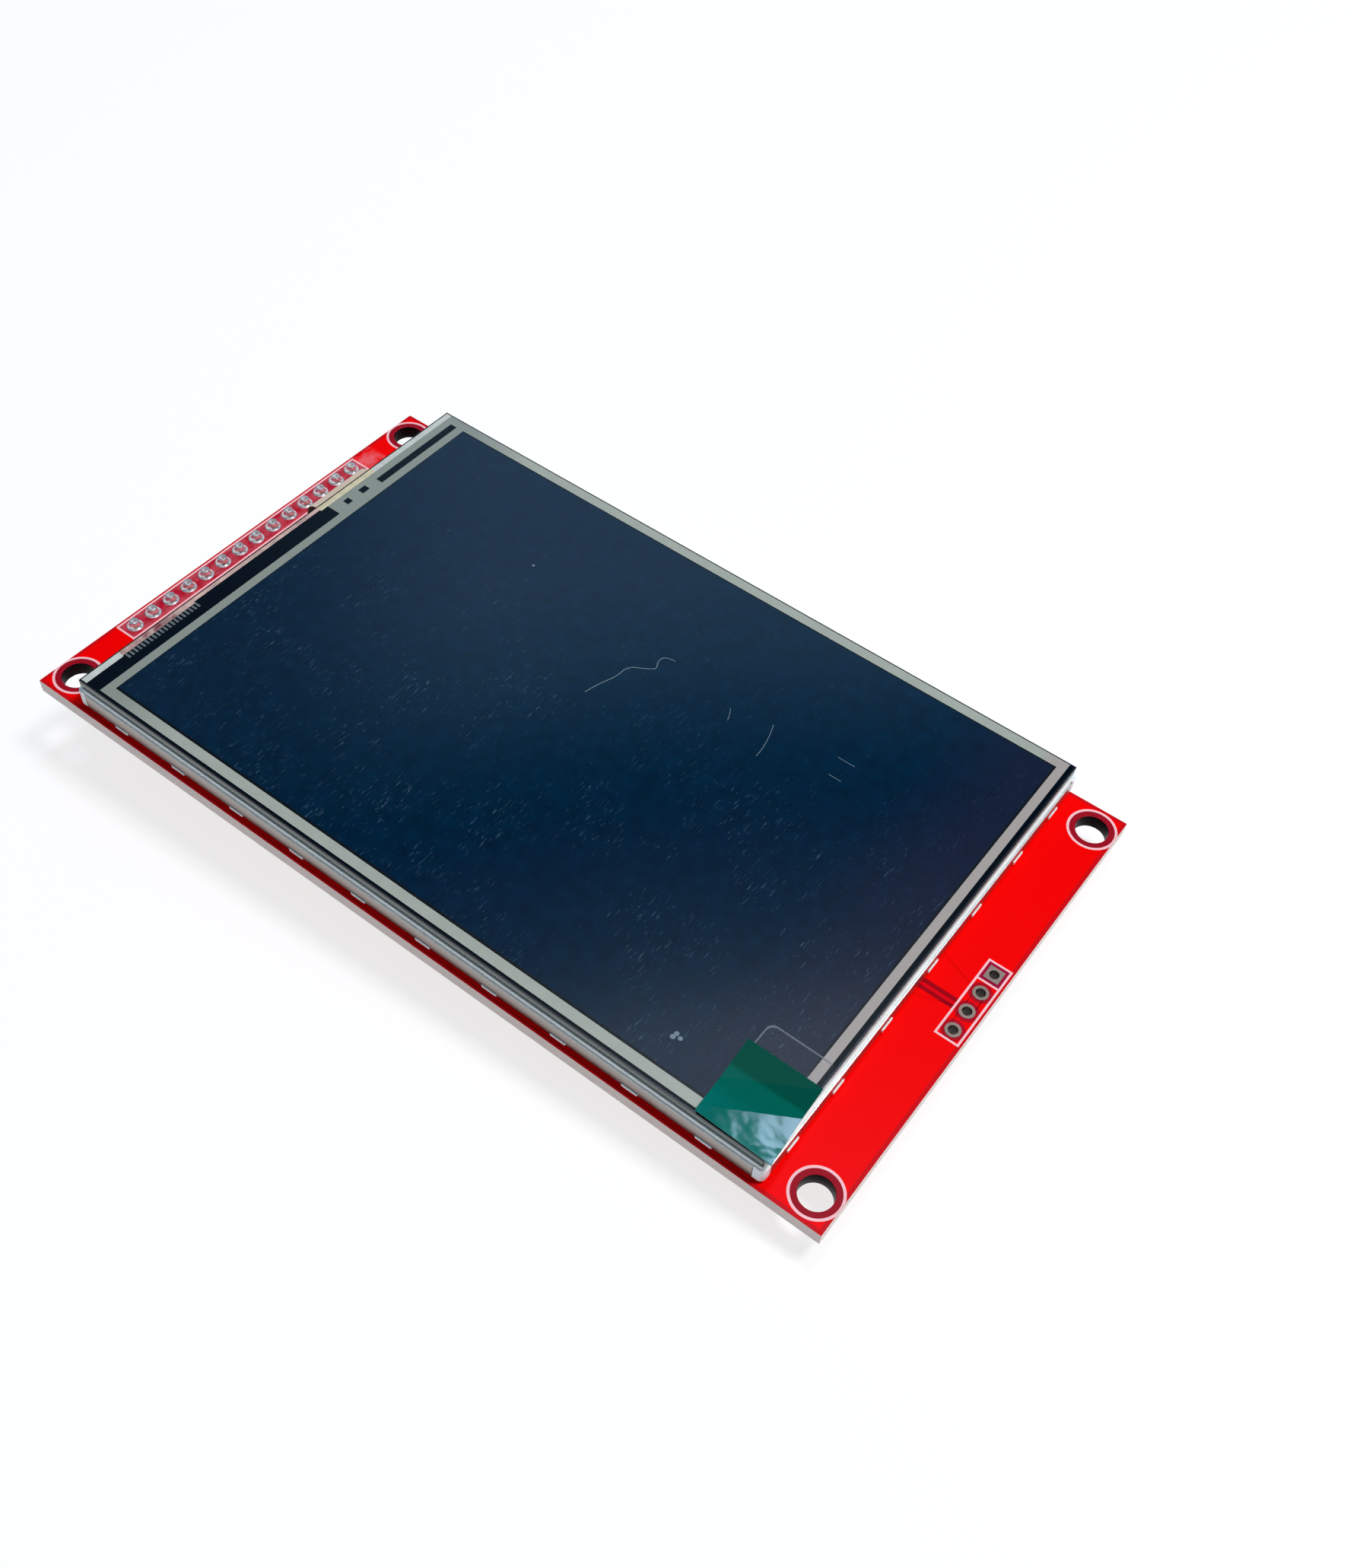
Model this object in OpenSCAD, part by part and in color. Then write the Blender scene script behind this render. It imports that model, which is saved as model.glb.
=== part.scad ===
// TFT display module: a liquid crystal cell with its backlight and resistive touch panel, taped to
// the front of a red circuit board that carries a card socket and a row of header pins on its back.
// Millimetres. The origin lies on the board's front face, midway between the four corner holes.
// +Z points out of the screen, +Y to the 14-pin header, +X to the right seen from the front.

/* [Board] */
// Width of the circuit board
board_w = 56.34; // [56:0.01:60]
// Length of the circuit board
board_l = 98; // [96.5:0.1:104]
// Thickness of the board's laminate
board_t = 1.6; // [1.2:0.1:2]
// Radius of the corner holes
corner_hole_r = 1.7; // [1.2:0.05:1.9]
// Distance of the corner holes from the long edges
corner_inset_x = 3; // [2.6:0.05:3.2]
// Distance of the corner holes from the short edges
corner_inset_y = 2.5; // [2.3:0.05:3]
// Thickness of the copper lands
land_t = 0.05; // [0.03:0.01:0.08]

/* [Headers] */
// Spacing of the pins in both header rows
pitch = 2.54; // [2.4:0.02:2.6]
// Number of pins in the long header
pin_count = 14; // [10:1:14]
// Number of holes in the card header
card_hole_count = 4; // [2:1:6]
// Sideways place of both header rows
row_x = -0.11; // [-0.5:0.01:0.5]
// Distance of both header rows from the board's ends
row_inset = 1.56; // [1.4:0.02:1.8]
// Width of the square pins
pin_w = 0.64; // [0.5:0.02:0.66]
// Height of the pin tips above the board
pin_above = 0.95; // [0.8:0.05:1.4]
// Length of the pins below their housing
pin_below = 6; // [4:0.5:11]
// Length of the taper at both ends of a pin
pin_taper = 0.35; // [0.1:0.05:0.5]
// Width of the flat tip of a pin
pin_tip_w = 0.3; // [0.2:0.02:0.4]
// Height of the header's housing
housing_h = 2.54; // [2:0.02:3]
// Width of the header's housing
housing_w = 2.5; // [2.2:0.02:2.8]
// Cut across the housing's corners between two pins
housing_notch = 0.45; // [0.2:0.05:0.6]
// Finished radius of the plated header holes
plated_hole_r = 0.5; // [0.48:0.01:0.6]
// Thickness of the copper that lines a plated hole
barrel_t = 0.05; // [0.03:0.01:0.1]
// Radius of the round lands about the pins' holes
land_r = 0.88; // [0.75:0.01:1]
// Radius of the lands about the card header's holes
card_land_r = 0.8; // [0.75:0.01:1]
// Width of the land that shows about a solder cone
solder_inset = 0.04; // [0:0.01:0.1]
// Height of a solder cone above its land
solder_h = 0.68; // [0.3:0.02:0.7]
// Radius of a solder cone where it meets the pin
solder_neck_r = 0.5; // [0.48:0.01:0.6]

/* [Display outline] */
// Sideways place of the display on the board
display_x = 0.5; // [-0.5:0.05:1]
// Distance of the touch panel from the board's near end
near_margin = 6.92; // [6.5:0.02:8]
// Distance of the touch panel from the board's header end
header_margin = 6.12; // [5.9:0.02:7]
// Width of the touch panel
panel_w = 55.5; // [54:0.05:56]
// Width that the tray shows beyond the panel on each side
tray_margin = 0.36; // [0.2:0.02:0.6]
// Height of the tray's walls
tray_h = 1.9; // [1.6:0.05:2]
// Thickness of the tray's sheet steel
tray_t = 0.2; // [0.15:0.01:0.25]
// Inside radius of the tray's bends
tray_bend_r = 0.1; // [0.05:0.01:0.2]
// Distance that the tray's walls stop short of its corners
tray_corner_gap = 1.2; // [0.8:0.05:2]
// Spacing of the latches along the tray's walls
latch_pitch = 8.13; // [7:0.01:8.4]
// Number of evenly spaced latches along a short wall
short_latch_count = 5; // [3:1:5]
// Least distance of a latch from the end of a long wall
latch_end = 1; // [0.5:0.1:2]
// Distance of the outer latches from the ends of a short wall
outer_latch_end = 2.5; // [1.5:0.1:4]
// Length of a latch window
latch_l = 1.9; // [1.2:0.1:3]
// Height of a latch window
latch_h = 0.4; // [0.3:0.05:0.5]
// Height of a latch window above the tray's underside
latch_z = 0.2; // [0.18:0.02:0.5]
// Distance that a latch stands out of the tray's wall
latch_out = 0.1; // [0:0.02:0.15]
// Play of a latch in its window
latch_play = 0.05; // [0.02:0.01:0.1]

/* [Mould frame] */
// Thickness of the frame's wall about the glass
frame_wall = 0.8; // [0.5:0.05:1]
// Height that the frame's rim stands above the tray's walls
frame_rise = 0.2; // [0:0.02:0.24]
// Width of the ledge that carries the glass
frame_ledge = 1.1; // [0.8:0.05:1.5]
// Radius of the frame's corner posts
frame_corner_r = 0.6; // [0.3:0.05:0.8]
// Play between the glass and the frame
glass_play = 0.1; // [0.05:0.01:0.2]
// Play between the light guide and the frame
guide_play = 0.1; // [0.05:0.01:0.2]
// Width of the frame's bar at the header end
frame_end_bar = 0.95; // [0.7:0.05:1.5]
// Length of the lamp pocket between the light guide and the end bar
lamp_pocket = 3; // [2.4:0.05:3.4]

/* [Layer thicknesses] */
// Adhesive tape under the display
tape_t = 0.2; // [0.18:0.01:0.4]
// White reflector
reflector_t = 0.08; // [0.05:0.01:0.12]
// Light guide
guide_t = 0.64; // [0.6:0.01:0.7]
// Diffuser and each prism sheet
sheet_t = 0.08; // [0.05:0.01:0.1]
// Black shield tape
shield_t = 0.06; // [0.03:0.01:0.1]
// Each polariser
polariser_t = 0.12; // [0.08:0.01:0.2]
// Each sheet of the liquid crystal cell
cell_glass_t = 0.4; // [0.3:0.01:0.5]
// Tape between the cell and the touch panel
touch_tape_t = 0.2; // [0.1:0.01:0.3]
// Touch glass
touch_glass_t = 0.7; // [0.5:0.05:1.1]
// Spacer between the touch glass and the touch film
spacer_t = 0.1; // [0.06:0.01:0.15]
// Touch film
film_t = 0.18; // [0.1:0.01:0.25]
// Protective film
liner_t = 0.06; // [0.03:0.01:0.1]

/* [Layer outlines] */
// Length of the ledge on the lower glass that carries the driver
glass_ledge = 2.7; // [2.4:0.05:3.2]
// Set-back of the polarisers from the glass
polariser_inset = 0.3; // [0.1:0.05:0.6]
// Width of the tape between the cell and the touch panel
touch_tape_w = 1.2; // [0.6:0.05:1.6]
// Width of the touch panel's spacer
spacer_w = 1.4; // [0.8:0.05:2]
// Width that the shield tape covers inside the frame's ledge
shield_lap = 1; // [0.4:0.05:1.6]
// Set-back of the protective film from the touch panel's edge
liner_inset = 0.2; // [0:0.05:0.6]
// Width of each tape strip under the display
tape_w = 6; // [3:0.5:8]
// Set-back of the tape strips from the tray's edge
tape_inset = 1.5; // [0.5:0.1:3]

/* [Flexible tails] */
// Thickness of both tails
tail_t = 0.1; // [0.08:0.01:0.14]
// Width of the display's tail
flex_w = 23; // [16:0.5:24]
// Sideways place of the display's tail
flex_x = -5.5; // [-7:0.1:-5]
// Length of the display's tail on the glass ledge
flex_bond = 1; // [0.6:0.05:1.2]
// Length of the display's tail under the tray
flex_under = 19; // [12:0.5:24]
// Width of the touch tail
touch_tail_w = 8.3; // [6:0.1:8.6]
// Sideways place of the touch tail
touch_tail_x = 10.75; // [10.5:0.05:12]
// Length of the touch tail between the touch glass and film
touch_tail_bond = 1.2; // [0.6:0.1:1.4]
// Length of the touch tail under the tray
touch_tail_under = 8; // [6:0.5:12]
// Distance of the touch tail's fold from the touch panel
touch_fold_gap = 0.05; // [0:0.01:0.2]
// Play of the display's tail in the frame's notch
flex_play = 0.2; // [0.1:0.05:0.5]
// Number of lands under the display's tail
flex_land_count = 20; // [12:1:24]
// Number of lands under the touch tail
touch_land_count = 4; // [4:1:6]
// Width of the lands that the tails are soldered to
tail_land_w = 0.4; // [0.3:0.05:0.5]
// Length of the lands that the tails are soldered to
tail_land_l = 2; // [1:0.1:3]

/* [Lamps and driver] */
// Number of lamps
lamp_count = 6; // [4:1:8]
// Length of a lamp
lamp_l = 3.8; // [3:0.1:4]
// Depth of a lamp
lamp_d = 1; // [0.8:0.05:1.2]
// Height of a lamp
lamp_h = 0.6; // [0.4:0.05:0.7]
// Spacing of the lamps
lamp_pitch = 7.6; // [5:0.1:7.8]
// Thickness of the lamps' strip
lamp_strip_t = 0.12; // [0.08:0.01:0.15]
// Width of the lamps' strip
lamp_strip_w = 2.2; // [1.6:0.1:2.2]
// Length of the driver chip
driver_l = 19; // [14:0.5:22]
// Depth of the driver chip
driver_d = 0.9; // [0.6:0.05:1]
// Height of the driver chip
driver_h = 0.3; // [0.2:0.02:0.36]

/* [Pull tab] */
// Width of the green tab
tab_w = 8.75; // [5:0.05:12]
// Length of the green tab
tab_l = 8; // [5:0.1:12]
// Rise of the tab's edge from its left side to its right side
tab_skew = 0.55; // [0:0.05:1]
// Distance that the tab hangs over the panel's near end
tab_over = 0.65; // [0:0.05:1]
// Thickness of the tab
tab_t = 0.08; // [0.05:0.01:0.15]
// Height of the wrinkle that crosses the tab
wrinkle_h = 0.38; // [0.1:0.02:0.6]
// Place of the wrinkle's ridge along the tab's near edge
wrinkle_x = 5.2; // [3:0.1:6]
// Slant of the wrinkle from the tab's long edges
wrinkle_slant = 30; // [10:1:45]
// Reach of the wrinkle's slope to the right of its ridge
wrinkle_run = 3.2; // [2:0.1:4]
// Width of the clear tape that holds the tab
clear_w = 11.2; // [9:0.1:16]
// Length of the clear tape that holds the tab
clear_l = 7.1; // [4:0.1:8]
// Corner radius of the clear tape
clear_r = 0.8; // [0.2:0.1:2]
// Thickness of the clear tape
clear_t = 0.05; // [0.03:0.01:0.1]

/* [Card socket] */
// Width of the card socket
socket_w = 28; // [27:0.1:30]
// Depth of the card socket
socket_d = 27.5; // [26:0.1:30]
// Height of the card socket
socket_h = 2.9; // [2.8:0.05:3.2]
// Distance of the socket's mouth from the board's end
socket_inset = 3.6; // [3.4:0.1:5]
// Thickness of the socket's sheet steel
shell_t = 0.2; // [0.15:0.01:0.3]
// Inside radius of the shell's bends
shell_bend_r = 0.2; // [0.1:0.05:0.3]
// Width of the card's slot
slot_w = 24.3; // [24.2:0.05:24.6]
// Thickness of the plastic floor
socket_floor_t = 0.4; // [0.3:0.02:0.5]
// Depth of the plastic bar that holds the contacts
socket_bar_d = 5.8; // [4:0.1:7]
// Depth of the finger notch in the shell's mouth
finger_notch = 2; // [1:0.1:3]
// Width of the finger notch in the shell's mouth
finger_notch_w = 15; // [10:0.5:18]
// Length of the shell's spring tongues
tongue_l = 9; // [6:0.5:12]
// Width of the shell's spring tongues
tongue_w = 2.4; // [1.6:0.1:3]
// Width of the slot about a spring tongue
tongue_slot = 0.5; // [0.3:0.05:0.8]
// Distance of the spring tongues from the socket's middle
tongue_x = 8; // [6:0.1:9]
// Length of the shell's solder tabs
shell_tab_l = 1.8; // [1:0.1:3]
// Distance that the shell's solder tabs stand out
shell_tab_out = 1; // [0.6:0.1:1.4]
// Radius of the socket's locating pegs
peg_r = 0.7; // [0.5:0.05:0.9]
// Length of the socket's locating pegs
peg_l = 1.1; // [0.8:0.1:1.2]
// Play of a peg in its hole
peg_play = 0.05; // [0.03:0.01:0.1]
// Number of card contacts
contact_count = 9; // [7:1:9]
// Spacing of the card contacts
contact_pitch = 2.4; // [2.2:0.05:2.5]
// Width of a card contact
contact_w = 0.9; // [0.6:0.05:1]
// Thickness of a card contact
contact_t = 0.15; // [0.1:0.01:0.2]
// Height that a card contact springs up from the board
contact_rise = 1; // [0.8:0.05:1.2]
// Width of the channel that a contact lies in
contact_slot_w = 1.3; // [1.1:0.05:1.5]
// Length of a contact beyond its bar
contact_reach = 6.5; // [4:0.1:8]
// Length of a contact's soldered tail behind the socket
contact_tail = 1; // [0.6:0.1:1.4]
// Length of the turned-back tip of a contact
contact_tip_l = 1.2; // [0.8:0.1:2]
// Rise of the turned-back tip of a contact
contact_tip_h = 0.5; // [0.2:0.05:0.6]

/* [Chips and small parts] */
// Distance of the regulator and the transistor from the header end
power_inset = 13; // [12:0.5:14]
// Sideways place of the regulator
regulator_x = -17; // [-18:0.5:-15]
// Distance of the touch chip from the header end
touch_chip_inset = 19; // [18:0.5:20]
// Sideways place of the touch chip
touch_chip_x = 14; // [12:0.5:16]
// Width of a lead of the touch chip
touch_lead_w = 0.22; // [0.18:0.01:0.3]
// Width of a lead of the regulator and the transistor
power_lead_w = 0.4; // [0.3:0.01:0.5]
// Distance of the resistor row from the header end
resistor_inset = 25; // [24:0.5:27]
// Sideways place of the resistor row's left end
resistor_x = -18; // [-20:0.5:-16]
// Number of resistors in the row by the header
resistor_count = 6; // [2:1:6]
// Distance of the pull-up row from the card socket
pull_up_gap = 8.9; // [4:0.1:12]
// Number of pull-up resistors
pull_up_count = 4; // [2:1:6]
// Spacing of the resistors in both rows
resistor_pitch = 3.2; // [2.4:0.1:4]
// Spacing of the capacitors about their chips
part_gap = 4; // [3.8:0.1:4.4]
// Standing height of a chip's body
chip_gap = 0.1; // [0.05:0.01:0.15]
// Thickness of a chip's leads
lead_t = 0.15; // [0.1:0.01:0.2]
// Length of a lead's foot
lead_foot = 0.5; // [0.3:0.05:0.7]
// Reach of a lead beyond its body
lead_reach = 1; // [0.8:0.05:1.2]
// Length of a resistor
resistor_l = 1.6; // [1.2:0.1:2]
// Width of a resistor
resistor_w = 0.8; // [0.6:0.05:1]
// Height of a resistor
resistor_h = 0.45; // [0.35:0.05:0.5]
// Length of a capacitor
capacitor_l = 2; // [1.4:0.1:2.4]
// Width of a capacitor
capacitor_w = 1.25; // [0.8:0.05:1.3]
// Height of a capacitor
capacitor_h = 0.85; // [0.5:0.05:1]
// Length of the metal at each end of a small part
end_cap_l = 0.3; // [0.2:0.02:0.4]

/* [Hidden] */

$fn = 48;
cut = 1; // overshoot of a cutting solid past the face that it opens

// Board and header rows
board_back = -board_t;
header_end = board_l / 2;
header_y = header_end - row_inset;
card_header_y = -header_y;
drill_r = plated_hole_r + barrel_t;
housing_top = board_back - land_t;
housing_bottom = housing_top - housing_h;
pin_bottom = housing_bottom - pin_below;

// Heights of the layers, each resting on the one before
tray_z = tape_t;
tray_floor_z = tray_z + tray_t;
guide_z = tray_floor_z + reflector_t;
diffuser_z = guide_z + guide_t;
lower_prism_z = diffuser_z + sheet_t;
upper_prism_z = lower_prism_z + sheet_t;
shield_z = upper_prism_z + sheet_t;
rear_polariser_z = shield_z + shield_t;
tft_glass_z = rear_polariser_z + polariser_t;
filter_glass_z = tft_glass_z + cell_glass_t;
front_polariser_z = filter_glass_z + cell_glass_t;
touch_tape_z = front_polariser_z + polariser_t;
touch_glass_z = touch_tape_z + touch_tape_t;
spacer_z = touch_glass_z + touch_glass_t;
film_z = spacer_z + spacer_t;
liner_z = film_z + film_t;
clear_z = liner_z + liner_t;
tab_z = clear_z + clear_t;

// The touch panel fills the board's length between its two margins
panel_l = board_l - near_margin - header_margin;
display_y = (near_margin - header_margin) / 2;

// Outlines about the display's middle, as half widths, near ends and far ends
tray_x = panel_w / 2 + tray_margin;
tray_y = panel_l / 2 + tray_margin;
frame_x = tray_x - tray_t;
frame_y = tray_y - tray_t;
frame_top = tray_z + tray_h + frame_rise;
pocket_x = frame_x - frame_wall;
pocket_near = -(frame_y - frame_wall);
pocket_far = frame_y - frame_end_bar;
glass_x = pocket_x - glass_play;
glass_near = pocket_near + glass_play;
glass_far = pocket_far - glass_play;
window_x = pocket_x - frame_ledge;
window_near = pocket_near + frame_ledge;
window_far = pocket_far - frame_ledge / 2;
guide_x = window_x - guide_play;
guide_near = window_near + guide_play;
guide_far = window_far - lamp_pocket;
filter_far = glass_far - glass_ledge;
shield_window_x = window_x - shield_lap;

// Tails: middle heights of the folds
flex_fold_r = (filter_glass_z - land_t) / 2;
flex_fold_y = frame_y - flex_play;
touch_fold_r = (spacer_z - land_t) / 2;
touch_fold_y = panel_l / 2 + touch_fold_gap;

// Card socket
mouth_y = -(board_l / 2 - socket_inset);
socket_top = board_back - socket_h;
slot_top = socket_top + shell_t;
bar_y = mouth_y + socket_d - shell_t;
peg_x = slot_w / 2 - 2 * peg_r;
peg_y = bar_y - socket_bar_d / 2;

// Chips: body width, body depth, body height, leads on one side, on the other, and their pitch
touch_chip = [5, 4.4, 1, 8, 8, 0.65];
small_chip = [2.9, 1.3, 1, 2, 1, 1.9];
touch_chip_at = [touch_chip_x, header_end - touch_chip_inset];
regulator_at = [regulator_x, header_end - power_inset];
transistor_at = regulator_at + [2 * part_gap, 0];
resistor_at = [for (i = [0 : resistor_count - 1]) [resistor_x + resistor_pitch * i, header_end - resistor_inset]];
pull_up_at = [for (i = [1 : pull_up_count])
    [resistor_pitch * (i - (pull_up_count + 1) / 2), mouth_y + socket_d + pull_up_gap]];
capacitor_at = concat(
    [for (side = [-1, 1]) regulator_at + part_gap * [side, -1]],
    [for (i = [-1 : 1]) touch_chip_at + part_gap * [-2, i]],
    [touch_chip_at + part_gap * [1.5, -1.5]]);

function row_at(count, i) = row_x + pitch * (i - (count + 1) / 2);

// Latch places along a long wall and along a short wall
function latch_row(count) = [for (i = [1 : count]) (i - (count + 1) / 2) * latch_pitch];
long_latches = latch_row(1 + floor((2 * (tray_y - tray_corner_gap - latch_end) - latch_l) / latch_pitch));
outer_latch = tray_x - tray_corner_gap - outer_latch_end - latch_l / 2;
short_latches = concat(latch_row(short_latch_count), [-outer_latch, outer_latch]);

// Box given by its low and high corners
module slab(low, high) {
    translate(low) cube(high - low);
}

// Layer about the display's middle, from its near end to its far end
module sheet(half_w, near, far, z, thickness) {
    slab([display_x - half_w, display_y + near, z], [display_x + half_w, display_y + far, z + thickness]);
}

// Flat rectangle with round corners about the origin
module rounded_rectangle(w, l, r) {
    square([w - 2 * r, l], center = true);
    square([w, l - 2 * r], center = true);
    for (sx = [-1, 1], sy = [-1, 1]) translate([sx * (w / 2 - r), sy * (l / 2 - r)]) circle(r);
}

// Flat strip of even thickness along a line of points, round at each bend
module bent_strip(points, thickness) {
    for (i = [0 : len(points) - 2]) {
        run = points[i + 1] - points[i];
        translate(points[i]) rotate(atan2(run.y, run.x))
            translate([0, -thickness / 2]) square([norm(run), thickness]);
    }
    for (i = [1 : 1 : len(points) - 2]) translate(points[i]) circle(thickness / 2, $fn = 24);
}

// Half ring that opens towards -X
module half_ring(r, thickness) {
    difference() {
        circle(r + thickness / 2);
        circle(r - thickness / 2);
        translate([-2 * r - cut, -2 * r - cut]) square([2 * r + cut, 4 * r + 2 * cut]);
    }
}

// Solid that has the given outline in Y and Z and runs along X
module along_x(width) {
    rotate([90, 0, 90]) translate([0, 0, -width / 2]) linear_extrude(width) children();
}

// ---- Board and headers ----

module corner_holes() {
    for (sx = [-1, 1], sy = [-1, 1])
        translate([sx * (board_w / 2 - corner_inset_x), sy * (board_l / 2 - corner_inset_y), board_back - cut])
            cylinder(r = corner_hole_r, h = board_t + 2 * cut);
}

module row_holes(count, y) {
    for (i = [1 : count])
        translate([row_at(count, i), y, board_back - cut]) cylinder(r = drill_r, h = board_t + 2 * cut);
}

module circuit_board() {
    color("crimson") difference() {
        slab([-board_w / 2, -board_l / 2, board_back], [board_w / 2, board_l / 2, 0]);
        corner_holes();
        row_holes(pin_count, header_y);
        row_holes(card_hole_count, card_header_y);
        for (side = [-1, 1]) translate([side * peg_x, peg_y, board_back - cut])
            cylinder(r = peg_r + peg_play, h = board_t + 2 * cut);
    }
}

// Plated hole: a copper barrel with a round land on each face of the board
module plated_hole(r) {
    rotate_extrude() polygon([
        [plated_hole_r, board_back - land_t], [r, board_back - land_t], [r, board_back],
        [drill_r, board_back], [drill_r, 0], [r, 0], [r, land_t], [plated_hole_r, land_t]]);
}

// Plated hole whose lands are square, as the first hole of a row has
module square_plated_hole(r) {
    difference() {
        union() {
            translate([0, 0, board_back]) cylinder(r = drill_r, h = board_t);
            for (z = [board_back - land_t, 0]) translate([-r, -r, z]) cube([2 * r, 2 * r, land_t]);
        }
        translate([0, 0, board_back - cut]) cylinder(r = plated_hole_r, h = board_t + 2 * cut);
    }
}

module header_pads() {
    color("goldenrod") for (i = [1 : pin_count]) translate([row_at(pin_count, i), header_y, 0]) plated_hole(land_r);
}

module card_header_pads() {
    color("tan") {
        for (i = [1 : card_hole_count - 1])
            translate([row_at(card_hole_count, i), card_header_y, 0]) plated_hole(card_land_r);
        translate([row_at(card_hole_count, card_hole_count), card_header_y, 0]) square_plated_hole(card_land_r);
    }
}

// Upright outline of a pin with its two tapered ends
module pin_outline() {
    polygon([
        [-pin_w / 2, pin_bottom + pin_taper], [-pin_tip_w / 2, pin_bottom], [pin_tip_w / 2, pin_bottom],
        [pin_w / 2, pin_bottom + pin_taper], [pin_w / 2, pin_above - pin_taper],
        [pin_tip_w / 2, pin_above], [-pin_tip_w / 2, pin_above], [-pin_w / 2, pin_above - pin_taper]]);
}

module pin_solid() {
    intersection() {
        rotate([90, 0, 0]) linear_extrude(pin_w, center = true) pin_outline();
        rotate([90, 0, 90]) linear_extrude(pin_w, center = true) pin_outline();
    }
}

module header_pin(i) {
    color("silver") translate([row_at(pin_count, i), header_y, 0]) pin_solid();
}

// Outline of one position of the housing, with its corners cut off
module housing_cell() {
    half = housing_w / 2;
    side = pitch / 2;
    polygon([
        [-side, housing_notch - half], [housing_notch - side, -half],
        [side - housing_notch, -half], [side, housing_notch - half],
        [side, half - housing_notch], [side - housing_notch, half],
        [housing_notch - side, half], [-side, half - housing_notch]]);
}

module header_housing() {
    color("black") translate([0, header_y, housing_bottom]) linear_extrude(housing_h) difference() {
        for (i = [1 : pin_count]) translate([row_at(pin_count, i), 0]) housing_cell();
        for (i = [1 : pin_count]) translate([row_at(pin_count, i), 0]) square(pin_w, center = true);
    }
}

// Solder that fills a plated hole about its pin and rises in a hollow cone above the land
module solder_joint() {
    foot_r = land_r - solder_inset;
    rise = [for (i = [0 : 6]) let (a = i * 15)
        [foot_r - (foot_r - solder_neck_r) * sin(a), land_t + solder_h * (1 - cos(a))]];
    difference() {
        rotate_extrude() polygon(concat(
            [[0, board_back - land_t], [plated_hole_r, board_back - land_t], [plated_hole_r, land_t]],
            rise, [[0, land_t + solder_h]]));
        pin_solid();
    }
}

module header_solder() {
    color("gainsboro") for (i = [1 : pin_count])
        translate([row_at(pin_count, i), header_y, 0]) solder_joint();
}

// ---- Display: tray, frame and backlight ----

module display_tape() {
    outer = tray_x - tape_inset;
    color("white") for (side = [-1, 1])
        translate([display_x + side * (outer - tape_w / 2), display_y, tape_t / 2])
            cube([tape_w, 2 * (tray_y - tape_inset), tape_t], center = true);
}

// Section of a tray wall, bent up from the floor, with the wall's outer face at x = 0
module tray_wall_section() {
    outer_r = tray_bend_r + tray_t;
    intersection() {
        translate([-outer_r, outer_r]) difference() {
            circle(outer_r);
            circle(tray_bend_r);
        }
        translate([-outer_r, 0]) square(outer_r);
    }
    translate([-tray_t, outer_r]) square([tray_t, tray_h - outer_r]);
}

// Wall along Y whose outer face is at x = 0, with a window at each latch
module tray_wall(length, latches) {
    difference() {
        rotate([90, 0, 0]) linear_extrude(length, center = true) tray_wall_section();
        for (y = latches) translate([-tray_t - cut, y - latch_l / 2, latch_z]) cube([tray_t + 2 * cut, latch_l, latch_h]);
    }
}

// Part of the header end that the display's tail takes up
function flex_side(side) = flex_x + side * (flex_w / 2 + flex_play);

module tail_gap(z_low, z_high) {
    slab([flex_side(-1), display_y + frame_y - frame_end_bar - cut, z_low], [flex_side(1), display_y + tray_y + cut, z_high]);
}

module backlight_tray() {
    bend = tray_bend_r + tray_t;
    long_wall = 2 * (tray_y - tray_corner_gap);
    short_wall = 2 * (tray_x - tray_corner_gap);
    color("lightsteelblue") difference() {
        translate([display_x, display_y, tray_z]) {
            translate([0, 0, tray_t / 2]) cube([2 * (tray_x - bend), 2 * (tray_y - bend), tray_t], center = true);
            for (side = [-1, 1]) {
                rotate(90 - 90 * side) translate([tray_x, 0, 0]) tray_wall(long_wall, long_latches);
                rotate(90 * side) translate([tray_y, 0, 0]) tray_wall(short_wall, short_latches);
            }
        }
        slab([flex_side(-1), display_y + frame_y, 0], [flex_side(1), display_y + tray_y + cut, tray_z + tray_h + cut]);
    }
}

// Nub that fills a window of the tray along Y, outside x = 0
module latch_nub(y) {
    translate([-tray_t, y - latch_l / 2 + latch_play, tray_t])
        cube([tray_t + latch_out, latch_l - 2 * latch_play, latch_z + latch_h - tray_t - latch_play]);
}

module corner_posts() {
    post = tray_corner_gap - latch_play;
    z = tray_t;
    translate([0, 0, z]) linear_extrude(frame_top - tray_z - z) intersection() {
        rounded_rectangle(2 * tray_x, 2 * tray_y, frame_corner_r);
        for (sx = [-1, 1], sy = [-1, 1])
            translate([sx * (tray_x - post / 2), sy * (tray_y - post / 2)]) square(post, center = true);
    }
}

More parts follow.
